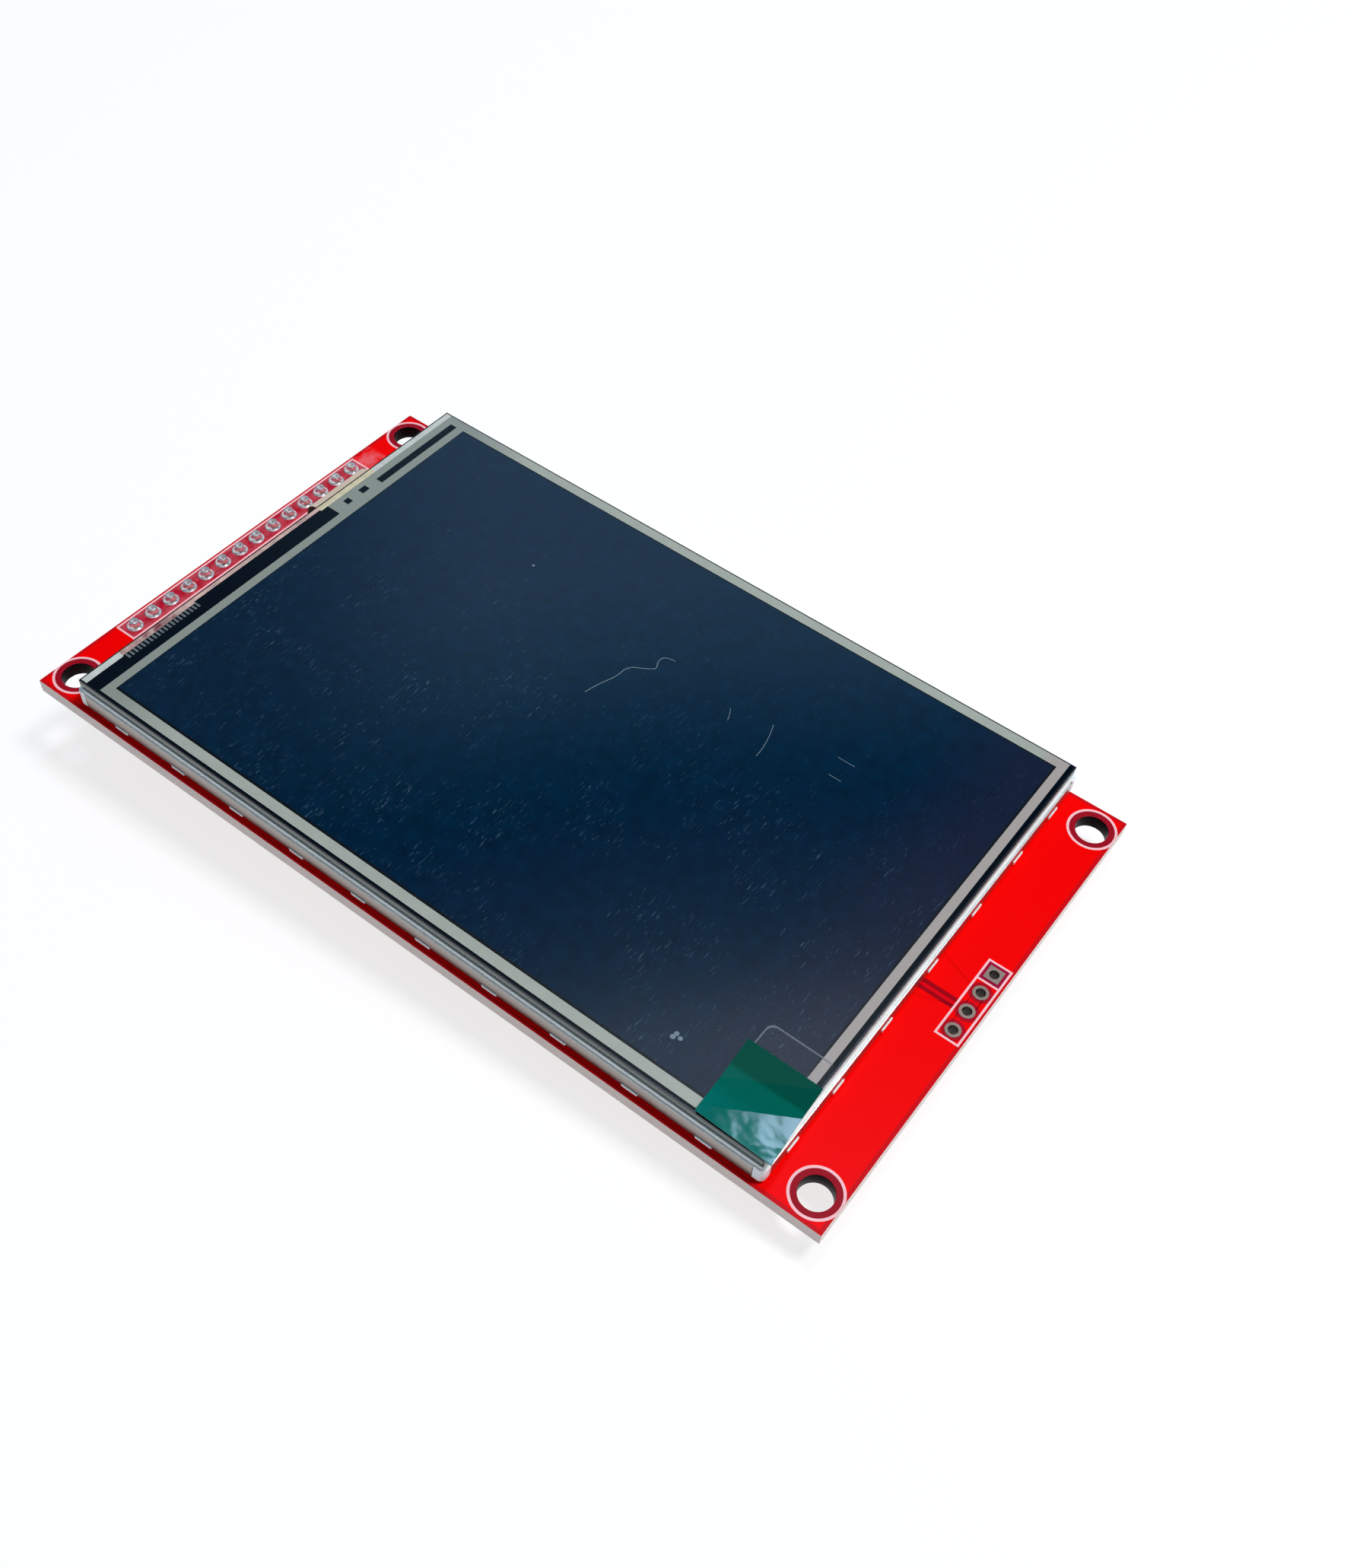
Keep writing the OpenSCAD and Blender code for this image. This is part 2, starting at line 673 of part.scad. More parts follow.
module mould_frame() {
    color("white") difference() {
        translate([display_x, display_y, tray_z]) {
            translate([0, 0, tray_t]) linear_extrude(frame_top - tray_floor_z)
                square(2 * [frame_x - tray_bend_r, frame_y - tray_bend_r], center = true);
            translate([0, 0, tray_t + tray_bend_r]) linear_extrude(frame_top - tray_floor_z - tray_bend_r)
                square(2 * [frame_x, frame_y], center = true);
            corner_posts();
            for (side = [-1, 1]) {
                rotate(90 - 90 * side) translate([tray_x, 0, 0]) for (y = long_latches) latch_nub(y);
                rotate(90 * side) translate([tray_y, 0, 0]) for (x = short_latches) latch_nub(x);
            }
        }
        sheet(pocket_x, pocket_near, pocket_far, shield_z, frame_top);
        sheet(window_x, window_near, window_far, 0, frame_top);
        tail_gap(filter_glass_z - flex_play / 2, frame_top + cut);
        slab([flex_side(-1), display_y + frame_y, 0], [flex_side(1), display_y + tray_y + cut, frame_top + cut]);
    }
}

module reflector_sheet() {
    color("white") sheet(guide_x, guide_near, guide_far, tray_floor_z, reflector_t);
}

module light_guide() {
    color("azure") sheet(guide_x, guide_near, guide_far, guide_z, guide_t);
}

module diffuser_sheet() {
    color("whitesmoke") sheet(guide_x, guide_near, guide_far, diffuser_z, sheet_t);
}

module lower_prism_sheet() {
    color("lavender") sheet(guide_x, guide_near, guide_far, lower_prism_z, sheet_t);
}

module upper_prism_sheet() {
    color("lavender") sheet(guide_x, guide_near, guide_far, upper_prism_z, sheet_t);
}

module lamp_strip() {
    near = guide_far + guide_play;
    color("ivory") sheet(lamp_pitch * lamp_count / 2, near, near + lamp_strip_w, tray_floor_z, lamp_strip_t);
}

module lamps() {
    near = display_y + guide_far + guide_play;
    color("khaki") for (i = [1 : lamp_count])
        translate([display_x + lamp_pitch * (i - (lamp_count + 1) / 2) - lamp_l / 2, near, tray_floor_z + lamp_strip_t])
            cube([lamp_l, lamp_d, lamp_h]);
}

module light_shield() {
    color("black") difference() {
        sheet(glass_x, glass_near, glass_far, shield_z, shield_t);
        sheet(shield_window_x, window_near + shield_lap, guide_far - shield_lap, shield_z - cut, shield_t + 2 * cut);
    }
}

// ---- Display: cell and tails ----

module polariser(z) {
    sheet(glass_x - polariser_inset, glass_near + polariser_inset, filter_far - polariser_inset, z, polariser_t);
}

module rear_polariser() {
    color("slategray") polariser(rear_polariser_z);
}

module tft_glass() {
    color("midnightblue") sheet(glass_x, glass_near, glass_far, tft_glass_z, cell_glass_t);
}

module colour_filter_glass() {
    color("midnightblue") sheet(glass_x, glass_near, filter_far, filter_glass_z, cell_glass_t);
}

module front_polariser() {
    color("darkslategray") polariser(front_polariser_z);
}

module driver_chip() {
    gap = (glass_ledge - flex_bond - driver_d) / 2;
    color("dimgray") translate([flex_x - driver_l / 2, display_y + filter_far + gap, filter_glass_z])
        cube([driver_l, driver_d, driver_h]);
}

// Tail that leaves a ledge at its upper height, folds down and runs back along the board
module folded_tail(width, top_z, fold_r, fold_y, top_start, under) {
    along_x(width) translate([display_y + fold_y, 0]) {
        translate([top_start - fold_y, top_z]) square([fold_y - top_start, tail_t]);
        translate([0, land_t + tail_t / 2 + fold_r]) half_ring(fold_r, tail_t);
        translate([-under, land_t]) square([under, tail_t]);
    }
}

module display_flex() {
    color("peru") translate([flex_x, 0, 0])
        folded_tail(flex_w, filter_glass_z, flex_fold_r, flex_fold_y, glass_far - flex_bond, flex_under);
}

module touch_tail() {
    color("burlywood") translate([touch_tail_x, 0, 0])
        folded_tail(touch_tail_w, spacer_z, touch_fold_r, touch_fold_y, panel_l / 2 - touch_tail_bond, touch_tail_under);
}

// Row of lands on the board under the end of a tail
module land_row(x, width, y, count) {
    for (i = [1 : count])
        translate([x + width * (i - (count + 1) / 2) / count - tail_land_w / 2, y, 0])
            cube([tail_land_w, tail_land_l, land_t]);
}

module tail_lands() {
    color("goldenrod") {
        land_row(flex_x, flex_w, display_y + flex_fold_y - flex_under, flex_land_count);
        land_row(touch_tail_x, touch_tail_w, display_y + touch_fold_y - touch_tail_under, touch_land_count);
    }
}

// ---- Display: touch panel and its films ----

module touch_tape() {
    x = glass_x - polariser_inset;
    near = glass_near + polariser_inset;
    far = filter_far - polariser_inset;
    color("black") difference() {
        sheet(x, near, far, touch_tape_z, touch_tape_t);
        sheet(x - touch_tape_w, near + touch_tape_w, far - touch_tape_w, touch_tape_z - cut, touch_tape_t + 2 * cut);
    }
}

module panel_sheet(z, thickness) {
    sheet(panel_w / 2, -panel_l / 2, panel_l / 2, z, thickness);
}

module touch_glass() {
    color("lightcyan") panel_sheet(touch_glass_z, touch_glass_t);
}

module touch_spacer() {
    x = panel_w / 2 - spacer_w;
    y = panel_l / 2 - spacer_w;
    half_tail = touch_tail_w / 2 + flex_play;
    color("gray") difference() {
        panel_sheet(spacer_z, spacer_t);
        sheet(x, -y, y, spacer_z - cut, spacer_t + 2 * cut);
        slab([touch_tail_x - half_tail, display_y, spacer_z - cut],
             [touch_tail_x + half_tail, display_y + panel_l / 2 + cut, spacer_z + spacer_t + cut]);
    }
}

module touch_film() {
    color("lightsteelblue") panel_sheet(film_z, film_t);
}

module protective_film() {
    color("aliceblue") sheet(panel_w / 2 - liner_inset, -panel_l / 2 + liner_inset, panel_l / 2 - liner_inset, liner_z, liner_t);
}

// The tab and its tape start from the panel's near left corner
module at_panel_corner(z) {
    translate([display_x - panel_w / 2, display_y - panel_l / 2, z]) children();
}

module clear_tape() {
    color("white") at_panel_corner(clear_z) linear_extrude(clear_t)
        translate([clear_w / 2 + liner_inset, clear_l / 2 + liner_inset]) rounded_rectangle(clear_w, clear_l, clear_r);
}

// Section of the tab across its wrinkle, whose ridge is at x = 0; the left slope ends at the tab's corner
module tab_section() {
    left = wrinkle_x * cos(wrinkle_slant);
    middle = tab_t / 2;
    bent_strip([
        [-left, middle], [0, middle + wrinkle_h], [wrinkle_run, middle], [tab_w + tab_l, middle]], tab_t);
}

module pull_tab() {
    color("teal") at_panel_corner(tab_z) translate([0, -tab_over, 0]) intersection() {
        linear_extrude(wrinkle_h + 2 * tab_t)
            polygon([[0, 0], [tab_w, tab_skew], [tab_w, tab_l + tab_skew], [0, tab_l]]);
        translate([wrinkle_x, 0, 0]) rotate(wrinkle_slant) rotate([90, 0, 0])
            linear_extrude(2 * (tab_w + tab_l), center = true) tab_section();
    }
}

// ---- Card socket ----

// Open-bottomed section of the shell, in X and Z, with its bends
module shell_section() {
    outer_r = shell_bend_r + shell_t;
    for (side = [0, 1]) mirror([side, 0]) {
        translate([socket_w / 2 - shell_t, socket_top + outer_r]) square([shell_t, socket_h - outer_r]);
        translate([0, socket_top]) square([socket_w / 2 - outer_r, shell_t]);
        translate([socket_w / 2 - outer_r, socket_top + outer_r]) intersection() {
            difference() {
                circle(outer_r);
                circle(shell_bend_r);
            }
            translate([0, -outer_r]) square(outer_r);
        }
    }
}

// Slot round three sides of a spring tongue
module tongue_slot_outline() {
    difference() {
        square([tongue_w + 2 * tongue_slot, tongue_l + tongue_slot]);
        translate([tongue_slot, 0]) square([tongue_w, tongue_l]);
    }
}

module shell_cut_outs() {
    notch_r = (finger_notch_w * finger_notch_w / 4 + finger_notch * finger_notch) / (2 * finger_notch);
    translate([0, mouth_y + finger_notch - notch_r, socket_top - cut])
        cylinder(r = notch_r, h = shell_t + 2 * cut, $fn = 96);
    for (side = [-1, 1])
        translate([side * tongue_x - tongue_w / 2 - tongue_slot, mouth_y + finger_notch + tongue_l / 2, socket_top - cut])
            linear_extrude(shell_t + 2 * cut) tongue_slot_outline();
}

module card_socket_shell() {
    color("silver") {
        difference() {
            translate([0, mouth_y + socket_d, 0]) rotate([90, 0, 0]) linear_extrude(socket_d) shell_section();
            shell_cut_outs();
        }
        for (side = [0, 1], y = [mouth_y + shell_tab_l, mouth_y + socket_d - 2 * shell_tab_l])
            mirror([side, 0, 0]) translate([socket_w / 2 - shell_t, y, board_back - shell_t])
                cube([shell_t + shell_tab_out, shell_tab_l, shell_t]);
    }
}

module contact_places() {
    for (i = [1 : contact_count]) translate([contact_pitch * (i - (contact_count + 1) / 2), 0, 0]) children();
}

module card_socket_base() {
    half_w = socket_w / 2 - shell_t;
    floor_z = board_back - socket_floor_t;
    channel_l = socket_bar_d + contact_reach + shell_t;
    color("black") difference() {
        union() {
            slab([-half_w, mouth_y + shell_t, floor_z], [half_w, bar_y, board_back]);
            slab([-half_w, bar_y - socket_bar_d, slot_top], [half_w, bar_y, floor_z]);
            for (side = [-1, 1]) translate([side * (half_w + slot_w / 2) / 2, (mouth_y + shell_t + bar_y) / 2, (slot_top + floor_z) / 2])
                cube([half_w - slot_w / 2, bar_y - mouth_y - shell_t, floor_z - slot_top], center = true);
            for (side = [-1, 1]) translate([side * peg_x, peg_y, board_back]) cylinder(r = peg_r, h = peg_l);
        }
        for (side = [-1, 1]) translate([side * half_w, mouth_y + socket_d / 2, slot_top])
            cube([2 * shell_bend_r, socket_d + 2 * cut, 2 * shell_bend_r], center = true);
        contact_places() translate([-contact_slot_w / 2, bar_y - channel_l, floor_z])
            cube([contact_slot_w, channel_l + cut, socket_floor_t + cut]);
    }
}

// Side outline of a contact: its soldered tail, its run under the bar and its sprung finger
module contact_outline() {
    z = board_back - contact_t / 2;
    bar_front = bar_y - socket_bar_d;
    bent_strip([
        [bar_y + contact_tail, z], [bar_front, z],
        [bar_front - contact_reach + contact_tip_l, z - contact_rise],
        [bar_front - contact_reach, z - contact_rise + contact_tip_h]], contact_t);
}

module card_contacts() {
    color("gold") contact_places() along_x(contact_w) contact_outline();
}

// ---- Chips and small parts on the back ----

// The parts below are drawn upright and hung from the board's back
module on_back(at) {
    translate([at.x, at.y, board_back]) mirror([0, 0, 1]) children();
}

module chip_body(size) {
    translate([-size[0] / 2, -size[1] / 2, chip_gap]) cube([size[0], size[1], size[2]]);
}

// Row of leads that leave a body's face at y = 0
module lead_row(count, lead_pitch, lead_w, exit_z) {
    for (i = [1 : count]) translate([lead_pitch * (i - (count + 1) / 2), 0, 0]) along_x(lead_w)
        bent_strip([
            [0, exit_z], [(lead_reach - lead_foot) / 2, exit_z],
            [lead_reach - lead_foot, lead_t / 2], [lead_reach, lead_t / 2]], lead_t);
}

module leads_of(size, lead_w) {
    exit_z = chip_gap + size[2] / 2;
    translate([0, size[1] / 2, 0]) lead_row(size[3], size[5], lead_w, exit_z);
    mirror([0, 1, 0]) translate([0, size[1] / 2, 0]) lead_row(size[4], size[5], lead_w, exit_z);
}

module touch_controller() {
    color("darkslategray") on_back(touch_chip_at) chip_body(touch_chip);
}

module regulator() {
    color("darkslategray") on_back(regulator_at) chip_body(small_chip);
}

module backlight_transistor() {
    color("darkslategray") on_back(transistor_at) chip_body(small_chip);
}

module chip_leads() {
    color("silver") {
        on_back(touch_chip_at) leads_of(touch_chip, touch_lead_w);
        for (at = [regulator_at, transistor_at]) on_back(at) leads_of(small_chip, power_lead_w);
    }
}

module part_middle(length, width, height) {
    translate([0, 0, height / 2]) cube([length - 2 * end_cap_l, width, height], center = true);
}

module part_ends(length, width, height) {
    for (side = [-1, 1]) translate([side * (length - end_cap_l) / 2, 0, height / 2])
        cube([end_cap_l, width, height], center = true);
}

module resistors() {
    color("black") for (at = concat(resistor_at, pull_up_at))
        on_back(at) rotate(90) part_middle(resistor_l, resistor_w, resistor_h);
}

module capacitors() {
    color("tan") for (at = capacitor_at) on_back(at) part_middle(capacitor_l, capacitor_w, capacitor_h);
}

module end_caps() {
    color("silver") {
        for (at = concat(resistor_at, pull_up_at)) on_back(at) rotate(90) part_ends(resistor_l, resistor_w, resistor_h);
        for (at = capacitor_at) on_back(at) part_ends(capacitor_l, capacitor_w, capacitor_h);
    }
}

circuit_board();
header_pads();
card_header_pads();
header_housing();
header_solder();
for (i = [1 : pin_count]) header_pin(i);
display_tape();
backlight_tray();
mould_frame();
reflector_sheet();
light_guide();
diffuser_sheet();
lower_prism_sheet();
upper_prism_sheet();
lamp_strip();
lamps();
light_shield();
rear_polariser();
tft_glass();
colour_filter_glass();
front_polariser();
driver_chip();
display_flex();
tail_lands();
touch_tape();
touch_glass();
touch_spacer();
touch_film();
touch_tail();
protective_film();
clear_tape();
pull_tab();
card_socket_shell();
card_socket_base();
card_contacts();
touch_controller();
regulator();
backlight_transistor();
chip_leads();
resistors();
capacitors();
end_caps();
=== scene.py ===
"""Looks, stage and camera of a TFT display module on a red circuit board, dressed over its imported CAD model."""

import sys

import logging
import math
from dataclasses import dataclass, field
from enum import Enum

import bmesh
import bpy
from mathutils import Matrix, Vector


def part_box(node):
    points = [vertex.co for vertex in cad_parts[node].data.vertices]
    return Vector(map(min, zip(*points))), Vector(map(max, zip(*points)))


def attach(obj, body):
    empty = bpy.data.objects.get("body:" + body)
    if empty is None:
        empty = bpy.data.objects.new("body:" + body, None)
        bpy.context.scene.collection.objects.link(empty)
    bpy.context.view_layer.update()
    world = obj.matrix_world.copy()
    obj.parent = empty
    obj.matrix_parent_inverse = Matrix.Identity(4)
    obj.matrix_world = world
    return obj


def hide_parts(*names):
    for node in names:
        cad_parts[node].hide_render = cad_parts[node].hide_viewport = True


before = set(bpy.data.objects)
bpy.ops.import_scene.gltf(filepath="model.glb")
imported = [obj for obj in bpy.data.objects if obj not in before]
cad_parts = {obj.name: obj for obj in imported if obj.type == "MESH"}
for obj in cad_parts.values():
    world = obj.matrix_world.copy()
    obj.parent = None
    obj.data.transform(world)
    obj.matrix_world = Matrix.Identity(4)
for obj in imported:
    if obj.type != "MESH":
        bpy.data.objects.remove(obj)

MM = 0.001  # one millimetre in metres
log = logging.getLogger("display_module")


# ---------------------------------------------------------------- colour and node helpers


def linear(hex_colour: str) -> tuple[float, float, float, float]:
    """Turns an sRGB hex colour into the linear values that a shader takes.

    Args:
        hex_colour: six hex digits, such as "f00000".

    Returns:
        Linear red, green and blue, and an alpha of 1.
    """
    parts = [int(hex_colour[i : i + 2], 16) / 255 for i in (0, 2, 4)]
    turned = [p / 12.92 if p <= 0.04045 else ((p + 0.055) / 1.055) ** 2.4 for p in parts]
    return (turned[0], turned[1], turned[2], 1.0)


def add(tree: bpy.types.NodeTree, kind: str, inputs: dict | None = None, **settings: object) -> bpy.types.Node:
    """Adds a node with its settings, its input values and its links.

    Args:
        tree: the node tree that takes the node.
        kind: the node's type name.
        inputs: socket name or index to a plain value, or to an output socket to link from.
        settings: attributes of the node, such as operation="ADD".

    Returns:
        The new node.
    """
    made = tree.nodes.new(kind)
    for key, value in settings.items():
        setattr(made, key, value)
    for socket, value in (inputs or {}).items():
        if isinstance(value, bpy.types.NodeSocket):
            tree.links.new(value, made.inputs[socket])
        else:
            made.inputs[socket].default_value = value
    return made


def set_stops(ramp: bpy.types.Node, stops: list[tuple[float, tuple[float, float, float, float]]]) -> None:
    """Sets the stops of a colour ramp node.

    Args:
        ramp: a ColorRamp node, fresh from add().
        stops: position and linear colour of each stop, in rising order.
    """
    elements = ramp.color_ramp.elements
    while len(elements) < len(stops):
        elements.new(1.0)
    for element, (place, colour) in zip(elements, stops):
        element.position = place
        element.color = colour


# ---------------------------------------------------------------- finishes


UPRIGHT_Z = 0.5  # a face whose normal has less Z than this counts as upright
CLOUD_LEVELS = (0.35, 0.62)  # a cloudy patch comes in between these levels of its noise
MOTTLE_LEVELS = (0.3, 0.7)  # the mottle runs from its darkest to its lightest between these


@dataclass(frozen=True)
class Patch:
    """A rectangle on the object where a finish has another colour; all sizes are in millimetres.

    With round_mm at half its width, the patch is a disc.
    """

    colour: str
    low: tuple[float, float]
    high: tuple[float, float]
    round_mm: float = 0.0
    soft_mm: float = 0.05
    amount: float = 1.0
    cloud_mm: float = 0.0

    def mask(self, tree: bpy.types.NodeTree, place: bpy.types.NodeSocket) -> bpy.types.NodeSocket:
        """Gives how much of the patch shows at each place, seen along Z.

        Args:
            tree: the material's node tree.
            place: the Object coordinates.

        Returns:
            How much of the patch shows, from 0 to its amount.
        """
        reach = [(high - low) / 2 - self.round_mm for low, high in zip(self.low, self.high)]
        centre = [(high + low) / 2 for low, high in zip(self.low, self.high)]
        offset = add(
            tree,
            "ShaderNodeVectorMath",
            {0: place, 1: (1, 1, 0), 2: (-centre[0] * MM, -centre[1] * MM, 0)},
            operation="MULTIPLY_ADD",
        ).outputs["Vector"]
        offset = add(tree, "ShaderNodeVectorMath", {0: offset}, operation="ABSOLUTE").outputs["Vector"]
        offset = add(
            tree, "ShaderNodeVectorMath", {0: offset, 1: (reach[0] * MM, reach[1] * MM, 0)}, operation="SUBTRACT"
        ).outputs["Vector"]
        offset = add(
            tree, "ShaderNodeVectorMath", {0: offset, 1: (0, 0, 0)}, operation="MAXIMUM"
        ).outputs["Vector"]
        away = add(tree, "ShaderNodeVectorMath", {0: offset}, operation="LENGTH").outputs["Value"]
        edge = self.round_mm * MM
        shown = add(
            tree,
            "ShaderNodeMapRange",
            {"Value": away, "From Min": edge + self.soft_mm * MM, "From Max": edge, "To Max": self.amount},
        ).outputs["Result"]
        if not self.cloud_mm:
            return shown
        fine = add(tree, "ShaderNodeMapping", {"Vector": place, "Scale": (1 / (self.cloud_mm * MM),) * 3})
        cloud = add(
            tree, "ShaderNodeTexNoise", {"Vector": fine.outputs["Vector"], "Scale": 1.0, "Detail": 3.0}
        ).outputs["Fac"]
        cloud = add(
            tree, "ShaderNodeMapRange", {"Value": cloud, "From Min": CLOUD_LEVELS[0], "From Max": CLOUD_LEVELS[1]}
        ).outputs["Result"]
        return add(tree, "ShaderNodeMath", {0: shown, 1: cloud}, operation="MULTIPLY").outputs["Value"]

    def over(
        self,
        tree: bpy.types.NodeTree,
        place: bpy.types.NodeSocket,
        below: bpy.types.NodeSocket | tuple[float, float, float, float],
    ) -> bpy.types.NodeSocket:
        """Lays the patch's colour over the colour below it.

        Args:
            tree: the material's node tree.
            place: the Object coordinates.
            below: the colour that the patch lies on.

        Returns:
            The colour with the patch laid over it.
        """
        return add(
            tree,
            "ShaderNodeMix",
            {"Factor": self.mask(tree, place), "A": below, "B": linear(self.colour)},
            data_type="RGBA",
        ).outputs["Result"]


def disc(colour: str, centre: tuple[float, float], radius_mm: float, **more: float) -> Patch:
    """Makes a round patch from its centre and radius, in millimetres.

    Args:
        colour: the patch's colour, as hex.
        centre: its centre, as X and Y.
        radius_mm: its radius.
        more: further fields of the patch.

    Returns:
        The patch.
    """
    low = (centre[0] - radius_mm, centre[1] - radius_mm)
    high = (centre[0] + radius_mm, centre[1] + radius_mm)
    return Patch(colour, low, high, round_mm=radius_mm, **more)


@dataclass(frozen=True)
class Finish:
    """A finish: one material with a fine grain in its roughness, relief and colour, and patches of other colours.

    Sizes are in millimetres on the object. Upright faces take side_colour and side_patches where they are given.
    """

    name: str
    colour: str
    roughness: float
    metallic: float = 0.0
    ior: float = 1.5
    specular: float = 0.5
    coat: float = 0.0
    coat_roughness: float = 0.05
    grain_mm: float = 0.3
    grain_stretch: tuple[float, float, float] = (1.0, 1.0, 1.0)
    relief_mm: float = 0.004
    mottle: float = 0.06
    mottle_mm: float = 3.0
    rough_swing: float = 0.06
    patches: tuple[Patch, ...] = ()
    edge_round_mm: float = 0.0
    side_colour: str = ""
    side_patches: tuple[Patch, ...] = ()

    def material(self) -> bpy.types.Material:
        """Builds the material, or hands back the one that was built before.

        Returns:
            The one material of this finish.
        """
        found = bpy.data.materials.get(self.name)
        if found:
            return found
        made = bpy.data.materials.new(self.name)
        made.use_nodes = True
        tree = made.node_tree
        tree.nodes.clear()
        place = add(tree, "ShaderNodeTexCoord").outputs["Object"]
        shader = add(
            tree,
            "ShaderNodeBsdfPrincipled",
            {
                "Base Color": self.base(tree, place),
                "Roughness": self.sheen_map(tree, place),
                "Normal": self.relief(tree, place),
                "Metallic": self.metallic,
                "IOR": self.ior,
                "Specular IOR Level": self.specular,
                "Coat Weight": self.coat,
                "Coat Roughness": self.coat_roughness,
            },
        )
        add(tree, "ShaderNodeOutputMaterial", {"Surface": self.surface(tree, place, shader)})
        return made

    def scaled(
        self, tree: bpy.types.NodeTree, place: bpy.types.NodeSocket, size_mm: float
    ) -> bpy.types.NodeSocket:
        """Scales Object coordinates so that one unit is size_mm, stretched as the grain runs."""
        scale = tuple(1 / (size_mm * MM * s) for s in self.grain_stretch)
        return add(tree, "ShaderNodeMapping", {"Vector": place, "Scale": scale}).outputs["Vector"]

    def base(self, tree: bpy.types.NodeTree, place: bpy.types.NodeSocket) -> bpy.types.NodeSocket:
        """Gives the base colour: a slow, faint mottle, then the patches, then the upright faces' own colour.

        Args:
            tree: the material's node tree.
            place: the Object coordinates.

        Returns:
            The base colour.
        """
        cloud = add(
            tree,
            "ShaderNodeTexNoise",
            {"Vector": self.scaled(tree, place, self.mottle_mm), "Scale": 1.0, "Detail": 3.0},
        )
        ramp = add(tree, "ShaderNodeValToRGB", {"Fac": cloud.outputs["Fac"]})
        r, g, b, a = linear(self.colour)
        shades = ((r * share, g * share, b * share, a) for share in (1 - self.mottle, 1 + self.mottle))
        set_stops(ramp, list(zip(MOTTLE_LEVELS, shades)))
        face = ramp.outputs["Color"]
        for patch in self.patches:
            face = patch.over(tree, place, face)
        if not self.side_colour:
            return face
        side = linear(self.side_colour)
        for patch in self.side_patches:
            side = patch.over(tree, place, side)
        turned = add(tree, "ShaderNodeSeparateXYZ", {"Vector": add(tree, "ShaderNodeTexCoord").outputs["Normal"]})
        tilt = add(tree, "ShaderNodeMath", {0: turned.outputs["Z"]}, operation="ABSOLUTE").outputs["Value"]
        upright = add(tree, "ShaderNodeMath", {0: tilt, 1: UPRIGHT_Z}, operation="LESS_THAN").outputs["Value"]
        return add(
            tree, "ShaderNodeMix", {"Factor": upright, "A": face, "B": side}, data_type="RGBA"
        ).outputs["Result"]

    def sheen_map(self, tree: bpy.types.NodeTree, place: bpy.types.NodeSocket) -> bpy.types.NodeSocket:
        """Gives the roughness: the finish's own, swung a little by its grain.

        Args:
            tree: the material's node tree.
            place: the Object coordinates.

        Returns:
            The roughness.
        """
        grain = add(
            tree,
            "ShaderNodeTexNoise",
            {"Vector": self.scaled(tree, place, self.grain_mm * 3), "Scale": 1.0, "Detail": 4.0},
        )
        low, high = max(0.02, self.roughness - self.rough_swing), min(1.0, self.roughness + self.rough_swing)
        return add(
            tree, "ShaderNodeMapRange", {"Value": grain.outputs["Fac"], "To Min": low, "To Max": high}
        ).outputs["Result"]

    def relief(self, tree: bpy.types.NodeTree, place: bpy.types.NodeSocket) -> bpy.types.NodeSocket:
        """Gives the surface normal: a shallow bump of the finish's grain, and rounded edges where asked.

        Args:
            tree: the material's node tree.
            place: the Object coordinates.

        Returns:
            The surface normal.
        """
        grain = add(
            tree,
            "ShaderNodeTexNoise",
            {"Vector": self.scaled(tree, place, self.grain_mm), "Scale": 1.0, "Detail": 2.0},
        )
        inputs = {"Height": grain.outputs["Fac"], "Strength": 1.0, "Distance": self.relief_mm * MM}
        if self.edge_round_mm:
            inputs["Normal"] = add(
                tree, "ShaderNodeBevel", {"Radius": self.edge_round_mm * MM}, samples=6
            ).outputs["Normal"]
        return add(tree, "ShaderNodeBump", inputs).outputs["Normal"]

    def surface(
        self, tree: bpy.types.NodeTree, place: bpy.types.NodeSocket, shader: bpy.types.Node
    ) -> bpy.types.NodeSocket:
        """Gives the surface shader; a finish with something over or through it builds on this."""
        return shader.outputs["BSDF"]


@dataclass(frozen=True)
class ClearFilm(Finish):
    """A thin clear film: mostly let through, with a gloss of its own, a faint veil and pale cut edges."""

    veil: float = 0.06
    body: Patch | None = None
    edge_veil: float = 0.55

    def surface(
        self, tree: bpy.types.NodeTree, place: bpy.types.NodeSocket, shader: bpy.types.Node
    ) -> bpy.types.NodeSocket:
        """Mixes the film's body with a plain see-through; outside the body patch lies its cut edge.

        Args:
            tree: the material's node tree.
            place: the Object coordinates.
            shader: the film's own shader.

        Returns:
            The surface shader.
        """
        through = add(tree, "ShaderNodeBsdfTransparent").outputs["BSDF"]
        shown = self.veil
        if self.body:
            shown = add(
                tree,
                "ShaderNodeMapRange",
                {"Value": self.body.mask(tree, place), "To Min": self.edge_veil, "To Max": self.veil},
            ).outputs["Result"]
        return add(
            tree, "ShaderNodeMixShader", {0: shown, 1: through, 2: shader.outputs["BSDF"]}
        ).outputs["Shader"]


